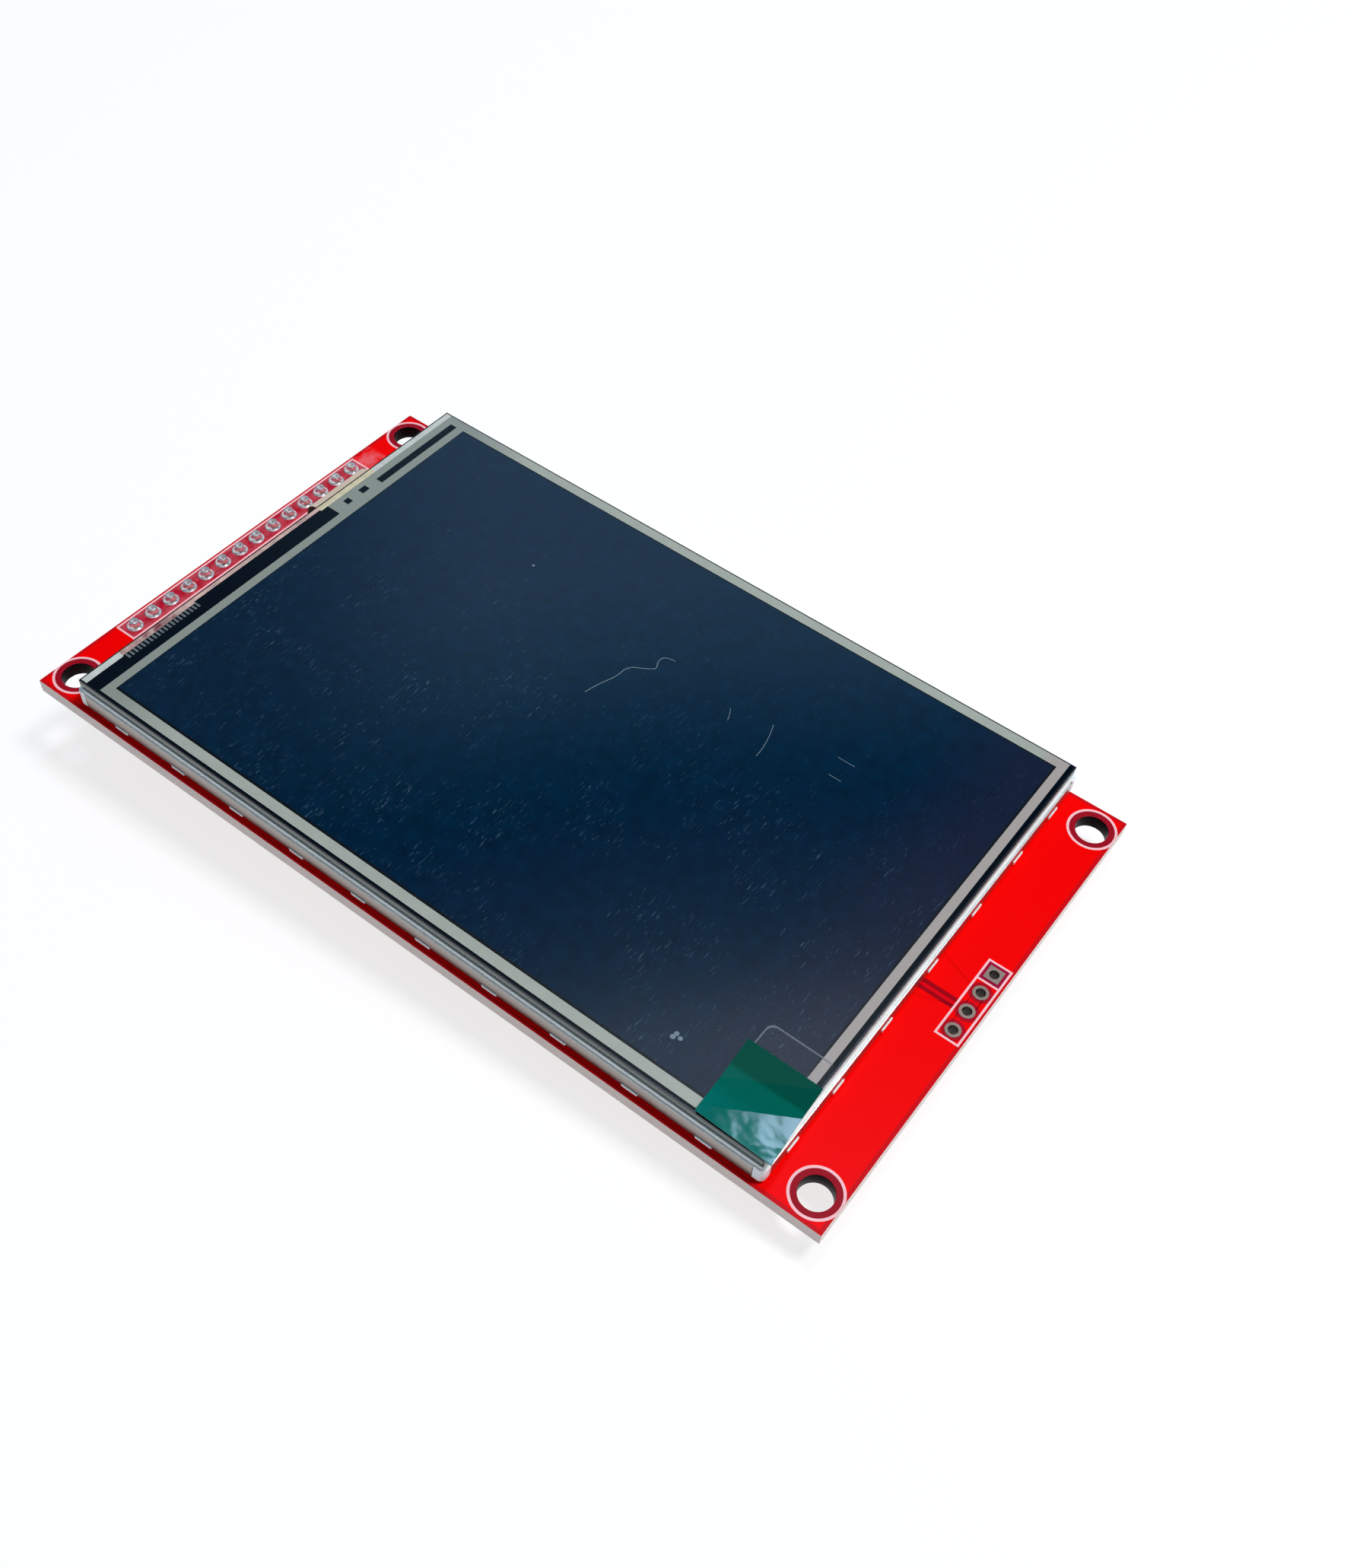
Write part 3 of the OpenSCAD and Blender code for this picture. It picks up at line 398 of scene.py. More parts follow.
@dataclass(frozen=True)
class ScreenFace(Finish):
    """The screen, switched off, under its glossy film: a near-black navy, with dust and fine scratches."""

    scratch: str = "5d7688"
    scratch_turn_deg: float = -10.0
    stroke_mm: tuple[float, float, float] = (1.1, 0.16, 1.0)
    stroke_levels: tuple[float, float] = (0.62, 0.80)
    # the strokes gather in patches, whole to the left of the second X and a share of themselves beyond the first
    patch_mm: float = 6.0
    patch_levels: tuple[float, float] = (0.42, 0.68)
    patch_amount: float = 0.8
    thinning_x_mm: tuple[float, float] = (14.0, -6.0)
    thin_share: float = 0.25
    speck_mm: float = 1.4
    speck_levels: tuple[float, float] = (0.05, 0.02)
    speck_amount: float = 0.25

    def base(self, tree: bpy.types.NodeTree, place: bpy.types.NodeSocket) -> bpy.types.NodeSocket:
        """Gives the polariser's tint with the dust and scratches over it.

        Args:
            tree: the material's node tree.
            place: the Object coordinates.

        Returns:
            The base colour.
        """
        return add(
            tree,
            "ShaderNodeMix",
            {"Factor": self.marks(tree, place), "A": super().base(tree, place), "B": linear(self.scratch)},
            data_type="RGBA",
        ).outputs["Result"]

    def marks(self, tree: bpy.types.NodeTree, place: bpy.types.NodeSocket) -> bpy.types.NodeSocket:
        """Gives how much of the surface is dust or scratch: short strokes in loose patches, more on the left.

        Args:
            tree: the material's node tree.
            place: the Object coordinates.

        Returns:
            The share that is dust or scratch.
        """
        slanted = add(
            tree,
            "ShaderNodeMapping",
            {
                "Vector": place,
                "Rotation": (0, 0, math.radians(self.scratch_turn_deg)),
                "Scale": tuple(1 / (size * MM) for size in self.stroke_mm),
            },
        ).outputs["Vector"]
        strokes = add(
            tree, "ShaderNodeTexNoise", {"Vector": slanted, "Scale": 1.0, "Detail": 2.0, "Roughness": 0.6}
        ).outputs["Fac"]
        low, high = self.stroke_levels
        strokes = add(
            tree, "ShaderNodeMapRange", {"Value": strokes, "From Min": low, "From Max": high}
        ).outputs["Result"]
        patches = add(
            tree,
            "ShaderNodeTexNoise",
            {"Vector": self.scaled(tree, place, self.patch_mm), "Scale": 1.0, "Detail": 3.0},
        ).outputs["Fac"]
        low, high = self.patch_levels
        patches = add(
            tree,
            "ShaderNodeMapRange",
            {"Value": patches, "From Min": low, "From Max": high, "To Max": self.patch_amount},
        ).outputs["Result"]
        axes = add(tree, "ShaderNodeSeparateXYZ", {"Vector": place})
        right, left = self.thinning_x_mm
        leftward = add(
            tree,
            "ShaderNodeMapRange",
            {
                "Value": axes.outputs["X"],
                "From Min": right * MM,
                "From Max": left * MM,
                "To Min": self.thin_share,
            },
        ).outputs["Result"]
        specks = add(
            tree, "ShaderNodeTexVoronoi", {"Vector": self.scaled(tree, place, self.speck_mm), "Scale": 1.0}
        ).outputs["Distance"]
        low, high = self.speck_levels
        specks = add(
            tree,
            "ShaderNodeMapRange",
            {"Value": specks, "From Min": low, "From Max": high, "To Max": self.speck_amount},
        ).outputs["Result"]
        strokes = add(tree, "ShaderNodeMath", {0: strokes, 1: patches}, operation="MULTIPLY").outputs["Value"]
        strokes = add(tree, "ShaderNodeMath", {0: strokes, 1: leftward}, operation="MULTIPLY").outputs["Value"]
        return add(tree, "ShaderNodeMath", {0: strokes, 1: specks}, operation="MAXIMUM").outputs["Value"]


CORNER_HOLES = [(x, y) for x in (-25.17, 25.17) for y in (-46.5, 46.5)]
CARD_HOLES_X = (-3.92, -1.38, 1.16, 3.7)
CARD_ROW_Y = -47.44
TAPE_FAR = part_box("clear_tape")[1] / MM

# the mask is brightest over the copper pour; where the copper is etched away, the laminate below makes it dark
MASK_PATCHES = (
    Patch("ea0000", (-27.72, -48.55), (27.72, 48.55)),
    *(disc("92101f", hole, 2.35) for hole in CORNER_HOLES),
    Patch("96000f", (-1.98, -46.1), (-1.54, -42.4)),
    Patch("d2000f", (-1.54, -46.1), (-1.18, -42.4)),
    Patch("96000f", (-1.18, -46.1), (-0.74, -42.4)),
    Patch("960a32", (2.6, -48.6), (4.95, -46.25)),
    *(disc("a80a1c", (x, CARD_ROW_Y), 1.15) for x in CARD_HOLES_X[:3]),
    Patch("a8142a", (-17.9, 46.3), (17.7, 48.6)),
    # a pale, cloudy pink over the header row, and a fainter one just past its right end
    Patch("c9656e", (-17.9, 46.3), (17.7, 48.6), amount=0.4, cloud_mm=1.2),
    Patch("d97a80", (17.9, 46.4), (20.2, 48.4), soft_mm=0.8, amount=0.5, cloud_mm=1.5),
)
MASK = Finish(
    "solder_mask_red",
    "c20a12",
    0.3,
    specular=0.03,
    grain_mm=0.8,
    relief_mm=0.004,
    mottle=0.03,
    patches=MASK_PATCHES,
    side_colour="e6d2c8",
    # painted shade: the walls of the corner holes are painted near black, for the shade inside them
    side_patches=tuple(disc("160408", hole, 1.8) for hole in CORNER_HOLES),
)
INK = Finish("epoxy_ink_white", "ecb0b3", 0.55, relief_mm=0.004, mottle=0.05)
SCREEN = ScreenFace(
    "screen_film_glossy",
    "001b30",
    0.06,
    grain_mm=14.0,
    relief_mm=0.004,
    mottle=0.2,
    mottle_mm=1.8,
    # painted reflection: the screen turns a lighter purplish grey towards the near end
    patches=(Patch("211d30", (-30, -44), (30, -38), soft_mm=9.0, amount=0.45),),
)
SILVER_INK = Finish(
    "silver_ink_under_film",
    "9a9e93",
    0.22,
    specular=0.3,
    mottle=0.04,
    mottle_mm=1.5,
    # painted light: the silver border is painted darker at the far end and warmer at the near end
    patches=(
        Patch("82887f", (-30, 38), (30, 43), soft_mm=8.0),
        Patch("9c938d", (-30, -44), (30, -40), soft_mm=2.0),
    ),
)
DARK_MARGIN = Finish("black_print_under_film", "010812", 0.10, specular=0.3, mottle=0.15)
LINE_BLACK = Finish("black_gasket_line", "04070b", 0.2, specular=0.4)
FROSTED_EDGE = Finish("frosted_film_edge", "b9bcb4", 0.45, mottle=0.10, mottle_mm=1.2)
# tan of what lies under the clear ledge, with painted shade: the dark cloud at its left end is painted shade
SHADED_TAPE = Finish(
    "adhesive_edge_tan_shaded",
    "b99a90",
    0.5,
    mottle=0.3,
    mottle_mm=1.4,
    patches=(Patch("6a2430", (-22, 42.2), (-15, 42.5), soft_mm=0.4, cloud_mm=1.0),),
)
TAIL_CREAM = Finish("tail_stiffener_cream", "c8bd9c", 0.4, mottle=0.18, mottle_mm=1.2)
# plain bars, a generic mark on the ledge
LEDGE_BARS = Finish("ledge_bars_grey_print", "5a6163", 0.35, mottle=0.2, mottle_mm=0.4)
# the cut stack of film and adhesive takes in the light and shows near black from the side
FILM_SIDE = Finish("film_stack_cut_edge", "0d1014", 0.25, specular=0.3, mottle=0.10)

NODE_FINISHES: dict[str, Finish] = {
    "circuit_board": MASK,
    # the pads' pink tint is a painted reflection of the red mask in the tin
    "header_pads": Finish("tinned_copper", "a4606a", 0.35, 0.5, relief_mm=0.01),
    # painted shade: the upright walls of the pads' holes are painted dark brown
    "card_header_pads": Finish(
        "tinned_copper_dull", "7d6a5e", 0.42, 0.5, relief_mm=0.006, side_colour="2a1410"
    ),
    "header_housing": Finish("glass_filled_nylon_black", "0d0d0f", 0.45, relief_mm=0.006),
    "header_solder": Finish("solder_tin_lead", "e2dee0", 0.2, 0.8, grain_mm=0.35, relief_mm=0.03),
    "display_tape": Finish("foam_tape_white", "e8e8e2", 0.7, relief_mm=0.01),
    # the folded rim is rounded; faces that look up are painted bright, a painted highlight, and the upright walls
    # darker, a painted shade
    "backlight_tray": Finish(
        "steel_tray_satin",
        "f0f1ee",
        0.32,
        1.0,
        grain_mm=0.12,
        grain_stretch=(1, 1, 6),
        relief_mm=0.002,
        edge_round_mm=0.18,
        side_colour="9c9791",
    ),
    "mould_frame": Finish("polycarbonate_white", "eeeeec", 0.35, relief_mm=0.006),
    "reflector_sheet": Finish("reflector_sheet_white", "f0f0f0", 0.5),
    "light_guide": Finish("acrylic_light_guide", "dfe7e4", 0.15),
    "diffuser_sheet": Finish("diffuser_sheet_matt", "e6e6e2", 0.6),
    "lower_prism_sheet": Finish("prism_film_lower", "cfd6d6", 0.3),
    "upper_prism_sheet": Finish("prism_film_upper", "cfd6d6", 0.3),
    "lamp_strip": Finish("polyimide_strip_amber", "9a5b1c", 0.35),
    "lamps": Finish("lamp_phosphor_cream", "f3edc8", 0.4),
    "light_shield": Finish("black_tape_matt", "0b0b0c", 0.6),
    "rear_polariser": Finish("polariser_grey_rear", "1a1e22", 0.2),
    "tft_glass": Finish("thin_glass_green", "59655f", 0.12, mottle=0.05),
    "colour_filter_glass": Finish("thin_glass_filter", "525d58", 0.12, mottle=0.05),
    "front_polariser": Finish("polariser_grey_front", "39403e", 0.2),
    "driver_chip": Finish("silicon_die", "2b2f38", 0.12, 0.3),
    "display_flex": Finish("polyimide_flex_tan", "8d6f58", 0.35, mottle=0.12),
    "tail_lands": Finish("gold_land_flash", "d8b36a", 0.3, 1.0),
    "touch_tape": Finish("double_tape_white", "c9cdcb", 0.5),
    # the glass edge is grey-green towards the light; on the near side it is painted almost black, a painted shade
    "touch_glass": Finish(
        "touch_glass_edge",
        "76807b",
        0.15,
        mottle=0.08,
        side_colour="56615b",
        side_patches=(Patch("120d12", (-30, -44), (30, -41.9)),),
    ),
    "touch_spacer": Finish("spacer_adhesive", "0e1216", 0.4),
    "touch_film": Finish("touch_film_edge", "0e1216", 0.25),
    "touch_tail": Finish("polyester_tail_beige", "c9b49c", 0.35, mottle=0.06),
    "protective_film": SCREEN,
    "clear_tape": ClearFilm(
        "clear_tape",
        "a9afb9",
        0.10,
        veil=0.02,
        grain_mm=2.0,
        relief_mm=0.015,
        body=Patch("ffffff", (-30, -44), (TAPE_FAR.x - 0.22, TAPE_FAR.y - 0.2), round_mm=0.8, soft_mm=0.1),
        edge_veil=0.3,
    ),
    "pull_tab": Finish(
        "polyester_tab_green",
        "006258",
        0.08,
        specular=0.07,
        grain_mm=2.2,
        relief_mm=0.02,
        mottle=0.10,
        # painted shade: the tab is painted darker in two steps towards the right, where it lies flat
        patches=(
            Patch("00574a", (-23.5, -46), (-12, -30), soft_mm=2.0),
            Patch("004538", (-21.3, -46), (-12, -30), soft_mm=0.5),
        ),
    ),
    "card_socket_shell": Finish("nickel_plated_steel", "c4c4c2", 0.22, 1.0, relief_mm=0.002),
    "card_socket_base": Finish("liquid_crystal_polymer_black", "121214", 0.5, relief_mm=0.006),
    "card_contacts": Finish("contact_gold", "d9b25c", 0.22, 1.0),
    "touch_controller": Finish("moulded_epoxy_touch_chip", "17181a", 0.55, relief_mm=0.008),
    "regulator": Finish("moulded_epoxy_regulator", "151617", 0.55, relief_mm=0.008),
    "backlight_transistor": Finish("moulded_epoxy_transistor", "151617", 0.55, relief_mm=0.008),
    "chip_leads": Finish("tinned_leads", "c8c8c6", 0.28, 1.0),
    "resistors": Finish("resistor_glaze_black", "101216", 0.3),
    "capacitors": Finish("capacitor_ceramic_tan", "a98a66", 0.45, mottle=0.08),
    "end_caps": Finish("end_caps_tinned", "cfcfcc", 0.3, 1.0, relief_mm=0.01),
}
PIN_FINISH = Finish("pin_brass_tinned", "d8d6d4", 0.26, 0.7, relief_mm=0.002)
# the frame's shortest edges would hold its bevel back, and its box stays the same without the clamp
UNCLAMPED = ("mould_frame",)
SOFT_EDGE_MM = {
    "circuit_board": 0.05,
    "mould_frame": 0.08,
    "touch_glass": 0.04,
    "pull_tab": 0.02,
    "card_socket_shell": 0.04,
}


# ---------------------------------------------------------------- piece helpers


def make_piece(name: str, mesh: bmesh.types.BMesh, finishes: list[Finish]) -> bpy.types.Object:
    """Turns a bmesh into a piece of the object, with its finishes, riding on the module.

    Args:
        name: the piece's name.
        mesh: the shape, in metres in the module's frame; it is freed here.
        finishes: one finish for each material index that the faces use.

    Returns:
        The new object.
    """
    data = bpy.data.meshes.new(name)
    mesh.to_mesh(data)
    mesh.free()
    for finish in finishes:
        data.materials.append(finish.material())
    piece = bpy.data.objects.new(name, data)
    bpy.context.scene.collection.objects.link(piece)
    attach(piece, "root")
    log.info("%s: %d faces", name, len(data.polygons))
    return piece


def add_slab(mesh: bmesh.types.BMesh, low: Vector, high: Vector) -> None:
    """Adds a plain slab between two corners, in millimetres."""
    middle, reach = (low + high) / 2 * MM, (high - low) * MM
    bmesh.ops.create_cube(mesh, size=1.0, matrix=Matrix.LocRotScale(middle, None, reach))


def add_outline(mesh: bmesh.types.BMesh, low: Vector, high: Vector, line_mm: float) -> None:
    """Adds a rectangle drawn as a raised line of ink, in millimetres.

    Args:
        mesh: the bmesh that takes it.
        low: lowest outer corner; its z is the surface.
        high: highest outer corner; its z is the top of the ink.
        line_mm: the line's width.
    """
    middle = (low + high) / 2 * MM
    middle.z = low.z * MM
    reach = (high - low) / 2 * MM
    placed = Matrix.LocRotScale(middle, None, Vector((reach.x, reach.y, 1.0)))
    plate = bmesh.ops.create_grid(mesh, x_segments=1, y_segments=1, size=1.0, matrix=placed)
    face = plate["verts"][0].link_faces[0]
    rim = bmesh.ops.inset_individual(mesh, faces=[face], thickness=line_mm * MM, use_even_offset=True)["faces"]
    rim = [part for part in rim if part is not face]
    bmesh.ops.delete(mesh, geom=[face], context="FACES")
    raised = bmesh.ops.extrude_face_region(mesh, geom=rim)["geom"]
    tops = [part for part in raised if isinstance(part, bmesh.types.BMVert)]
    bmesh.ops.translate(mesh, verts=tops, vec=Vector((0, 0, (high.z - low.z) * MM)))


def add_ring(mesh: bmesh.types.BMesh, centre: Vector, inner_mm: float, outer_mm: float, ink_mm: float) -> None:
    """Adds a printed ring by spinning the ink's section round the hole's axis.

    Args:
        mesh: the bmesh that takes it.
        centre: the ring's centre on the surface, in millimetres.
        inner_mm: inner radius.
        outer_mm: outer radius.
        ink_mm: height of the ink above the surface.
    """
    section = bmesh.ops.create_grid(
        mesh,
        x_segments=1,
        y_segments=1,
        size=1.0,
        matrix=Matrix.Translation((centre + Vector(((inner_mm + outer_mm) / 2, 0, ink_mm / 2))) * MM)
        @ Matrix.Rotation(math.radians(90), 4, "X")
        @ Matrix.Diagonal(((outer_mm - inner_mm) / 2 * MM, ink_mm / 2 * MM, 1, 1)),
    )
    edges = list({e for v in section["verts"] for e in v.link_edges})
    faces = list({f for v in section["verts"] for f in v.link_faces})
    bmesh.ops.delete(mesh, geom=faces, context="FACES_ONLY")
    bmesh.ops.spin(
        mesh,
        geom=edges + section["verts"],
        cent=centre * MM,
        axis=(0, 0, 1),
        angle=math.tau,
        steps=72,
        use_merge=True,
    )


# ---------------------------------------------------------------- sub-assemblies


@dataclass
class CarriedNodes:
    """The CAD model's own nodes: each gets its finish, and the visible ones get soft edges."""

    weld_m: float = 1e-6
    edge_segments: int = 2
    edge_angle_deg: float = 40.0

    def dress(self) -> None:
        """Gives every CAD node its material, and a fine bevel where an edge catches light."""
        for name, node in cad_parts.items():
            finish = PIN_FINISH if name.startswith("header_pin_") else NODE_FINISHES[name]
            node.data.materials.clear()
            node.data.materials.append(finish.material())
            width = SOFT_EDGE_MM.get(name)
            if width:
                weld = node.modifiers.new("weld", "WELD")
                weld.merge_threshold = self.weld_m
                bevel = node.modifiers.new("soft_edge", "BEVEL")
                bevel.width = width * MM
                bevel.segments = self.edge_segments
                bevel.limit_method = "ANGLE"
                bevel.angle_limit = math.radians(self.edge_angle_deg)
                bevel.harden_normals = False
                bevel.use_clamp_overlap = name not in UNCLAMPED
            log.info("%s: %s", name, finish.name)


@dataclass
class BoardPrint:
    """White legend on the board: rings about the corner holes and boxes about the two rows."""

    ink_mm: float = 0.02
    ring_inner_mm: float = 2.33
    ring_outer_mm: float = 2.6
    line_mm: float = 0.22
    hole_mm: tuple[float, float] = (25.17, 46.5)
    header_box: tuple[float, float, float, float] = (-18.1, 46.0, 17.9, 48.75)
    card_box: tuple[float, float, float, float] = (-5.2, -48.75, 5.04, -46.12)
    divider_x_mm: float = 2.48
    trim_y_mm: float = 48.97

    def build(self) -> bpy.types.Object:
        """Builds the front legend as one thin piece.

        Returns:
            The legend.
        """
        mesh = bmesh.new()
        for x in (-self.hole_mm[0], self.hole_mm[0]):
            for y in (-self.hole_mm[1], self.hole_mm[1]):
                add_ring(mesh, Vector((x, y, 0)), self.ring_inner_mm, self.ring_outer_mm, self.ink_mm)
        for end in (-1, 1):
            self.trim(mesh, end)
        for box in (self.header_box, self.card_box):
            add_outline(mesh, Vector((box[0], box[1], 0)), Vector((box[2], box[3], self.ink_mm)), self.line_mm)
        add_slab(
            mesh,
            Vector((self.divider_x_mm - self.line_mm / 2, self.card_box[1] + self.line_mm, 0)),
            Vector((self.divider_x_mm + self.line_mm / 2, self.card_box[3] - self.line_mm, self.ink_mm)),
        )
        bmesh.ops.recalc_face_normals(mesh, faces=mesh.faces)
        return make_piece("board_legend_front", mesh, [INK])

    def trim(self, mesh: bmesh.types.BMesh, end: int) -> None:
        """Cuts the rings off just inside one end of the board.

        Args:
            mesh: the legend so far.
            end: -1 for the near end and 1 for the far one.
        """
        cut = bmesh.ops.bisect_plane(
            mesh,
            geom=list(mesh.verts) + list(mesh.edges) + list(mesh.faces),
            plane_co=Vector((0, end * self.trim_y_mm, 0)) * MM,
            plane_no=Vector((0, end, 0)),
            clear_outer=True,
        )["geom_cut"]
        bmesh.ops.edgeloop_fill(mesh, edges=[part for part in cut if isinstance(part, bmesh.types.BMEdge)])


# the plain bars on the ledge
BAR_WIDTH_MM = 0.26
BAR_ENDS_MM = (41.25, 41.95)
BAR_STARTS_MM = tuple(-22.0 + 0.5 * number for number in range(20))


class Band(Enum):
    """What shows through the top film, as the index of its finish."""

    MARGIN = 0
    SILVER = 1
    LINE = 2
    SCREEN = 3
    FROSTED = 4
    TAN = 5
    SIDE = 6
    CREAM = 7
    BARS = 8


@dataclass
class DisplayFace:
    """The top film with all that shows through it: the screen, its silver border and the dark ledge."""

    clear_mm: float = 0.01  # a cut nearer than this to the slab's edge is left out
    bands: list[tuple[Band, float, float, float, float]] = field(
        default_factory=lambda: [
            (Band.SILVER, -26.85, -25.7, -41.42, 40.15),
            (Band.SILVER, -26.85, 28.25, -41.42, -40.45),
            (Band.SILVER, -26.85, 28.25, 39.15, 40.15),
            (Band.SILVER, 26.9, 28.25, -41.42, 42.0),
            (Band.SILVER, 7.4, 14.2, 40.15, 42.0),
            (Band.SILVER, 14.2, 27.0, 41.05, 42.0),
            (Band.MARGIN, 9.1, 9.9, 40.5, 41.3),
            (Band.MARGIN, 11.5, 12.6, 40.5, 41.3),
            (Band.FROSTED, -27.25, -22.2, 41.9, 42.88),
            (Band.TAN, -22.2, -12.3, 42.0, 42.88),
            (Band.TAN, -12.3, 6.4, 42.2, 42.88),
            (Band.CREAM, 6.4, 15.0, 42.0, 42.88),
            (Band.FROSTED, 15.0, 28.25, 42.0, 42.88),
            *((Band.BARS, x, x + BAR_WIDTH_MM, *BAR_ENDS_MM) for x in BAR_STARTS_MM),
            (Band.LINE, -25.7, 26.9, -40.45, 39.15),
            (Band.SCREEN, -25.4, 26.75, -40.2, 39.05),
        ]
    )

    def build(self) -> bpy.types.Object:
        """Builds the film as one slab, cut along the bands' edges, in place of the plain CAD film.

        Returns:
            The film.
        """
        low, high = (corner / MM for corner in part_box("protective_film"))
        mesh = bmesh.new()
        add_slab(mesh, low, high)
        for axis, normal in ((0, Vector((1, 0, 0))), (1, Vector((0, 1, 0)))):
            cuts = {edge for band in self.bands for edge in band[1 + 2 * axis : 3 + 2 * axis]}
            for cut in sorted(cuts):
                if low[axis] + self.clear_mm < cut < high[axis] - self.clear_mm:
                    bmesh.ops.bisect_plane(
                        mesh,
                        geom=list(mesh.verts) + list(mesh.edges) + list(mesh.faces),
                        plane_co=normal * cut * MM,
                        plane_no=normal,
                    )
        for face in mesh.faces:
            face.material_index = self.band_of(face).value
        piece = make_piece(
            "screen_face",
            mesh,
            [
                DARK_MARGIN,
                SILVER_INK,
                LINE_BLACK,
                SCREEN,
                FROSTED_EDGE,
                SHADED_TAPE,
                FILM_SIDE,
                TAIL_CREAM,
                LEDGE_BARS,
            ],
        )
        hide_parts("protective_film")
        return piece

    def band_of(self, face: bmesh.types.BMFace) -> Band:
        """Finds the band that a face of the cut slab belongs to.

        Args:
            face: a face of the slab.

        Returns:
            The last band in the list that holds the face's middle.
        """
        if face.normal.z < UPRIGHT_Z:
            return Band.SIDE
        middle = face.calc_center_median() / MM
        found = Band.MARGIN
        for band, x0, x1, y0, y1 in self.bands:
            if x0 < middle.x < x1 and y0 < middle.y < y1:
                found = band
        return found


@dataclass
class PanelBead:
    """Pale strip in the slot between the panel and the frame, along the left side only, where its white is a
    painted highlight.

    What fills the slot on the real module isn't known, so this stands for it and has no CAD solid.
    """

    x_mm: tuple[float, float] = (-27.39, -26.7)
    y_mm: tuple[float, float] = (-42.05, 42.6)
    levels_mm: tuple[float, float] = (2.302, 2.655)

    def build(self) -> bpy.types.Object:
        """Builds the strip as one bar.

        Returns:
            The strip.
        """
        (left, right), (near, far), (bottom, top) = self.x_mm, self.y_mm, self.levels_mm
        mesh = bmesh.new()
        add_slab(mesh, Vector((left, near, bottom)), Vector((right, far, top)))
        return make_piece("panel_bead", mesh, [Finish("slot_strip_painted_highlight", "f0f3ee", 0.3)])


@dataclass
class FilmMarks:
    """Dust on the film: a curled fibre, a few hairs and flecks."""

    top_mm: float = 3.71
    radius_mm: float = 0.05
    hair_share: float = 0.7  # a hair's radius against the fibre's
    strand_flat: float = 0.4
    fleck_flat: float = 0.15
    strands: list[list[tuple[float, float]]] = field(
        default_factory=lambda: [
            [
                (4.2, 2.6),
                (6, 2.2),
                (8, 1.4),
                (9.8, 1.4),
                (10.8, -0.3),
                (11.5, -1.2),
                (12.3, -0.6),
                (13.5, -0.7),
                (13.6, -2),
            ],
            [(10.5, -11), (11.2, -10.8), (12, -10.3)],
            [(8.5, -16), (10.5, -16), (13, -15)],
            [(11.2, -23), (11.25, -23.8), (11.2, -24.5)],
            [(13.7, -22.5), (13.65, -23.5), (13.7, -24.5)],
        ]
    )
    # X, Y and radius of each fleck, in millimetres
    flecks: tuple[tuple[float, float, float], ...] = (
        (-22.5, -28.8, 0.28),
        (-22.05, -28.9, 0.26),
        (-22.25, -29.45, 0.24),
        (15.0, 18.5, 0.16),
    )

    def build(self) -> bpy.types.Object:
        """Builds each strand as a thin smooth thread, flattened on the film, and each fleck as a flat ball.

        Returns:
            The dust, as one piece.
        """
        mesh = bmesh.new()
        for number, points in enumerate(self.strands):
            curve = bpy.data.curves.new(f"strand_{number}", "CURVE")
            curve.dimensions = "3D"
            curve.bevel_depth = self.radius_mm * MM * (1.0 if number == 0 else self.hair_share)
            curve.bevel_resolution = 1
            curve.use_fill_caps = True
            spline = curve.splines.new("NURBS")
            spline.points.add(len(points) - 1)
            for point, (x, y) in zip(spline.points, points):
                point.co = (x * MM, y * MM, 0, 1)
            spline.order_u = 3
            spline.use_endpoint_u = True
            holder = bpy.data.objects.new("strand", curve)
            thread = bpy.data.meshes.new_from_object(holder)
            mesh.from_mesh(thread)
            bpy.data.objects.remove(holder)
            bpy.data.curves.remove(curve)
            bpy.data.meshes.remove(thread)
        bmesh.ops.scale(mesh, verts=mesh.verts, vec=Vector((1, 1, self.strand_flat)))
        for x, y, size in self.flecks:
            place = Matrix.LocRotScale(Vector((x, y, 0)) * MM, None, Vector((1, 1, self.fleck_flat)) * size * MM)
            bmesh.ops.create_icosphere(mesh, subdivisions=2, radius=1.0, matrix=place)
        bmesh.ops.translate(mesh, verts=mesh.verts, vec=Vector((0, 0, self.top_mm * MM)))
        return make_piece("film_dust", mesh, [Finish("lint_fibre", "66767e", 0.7)])


# ---------------------------------------------------------------- stage


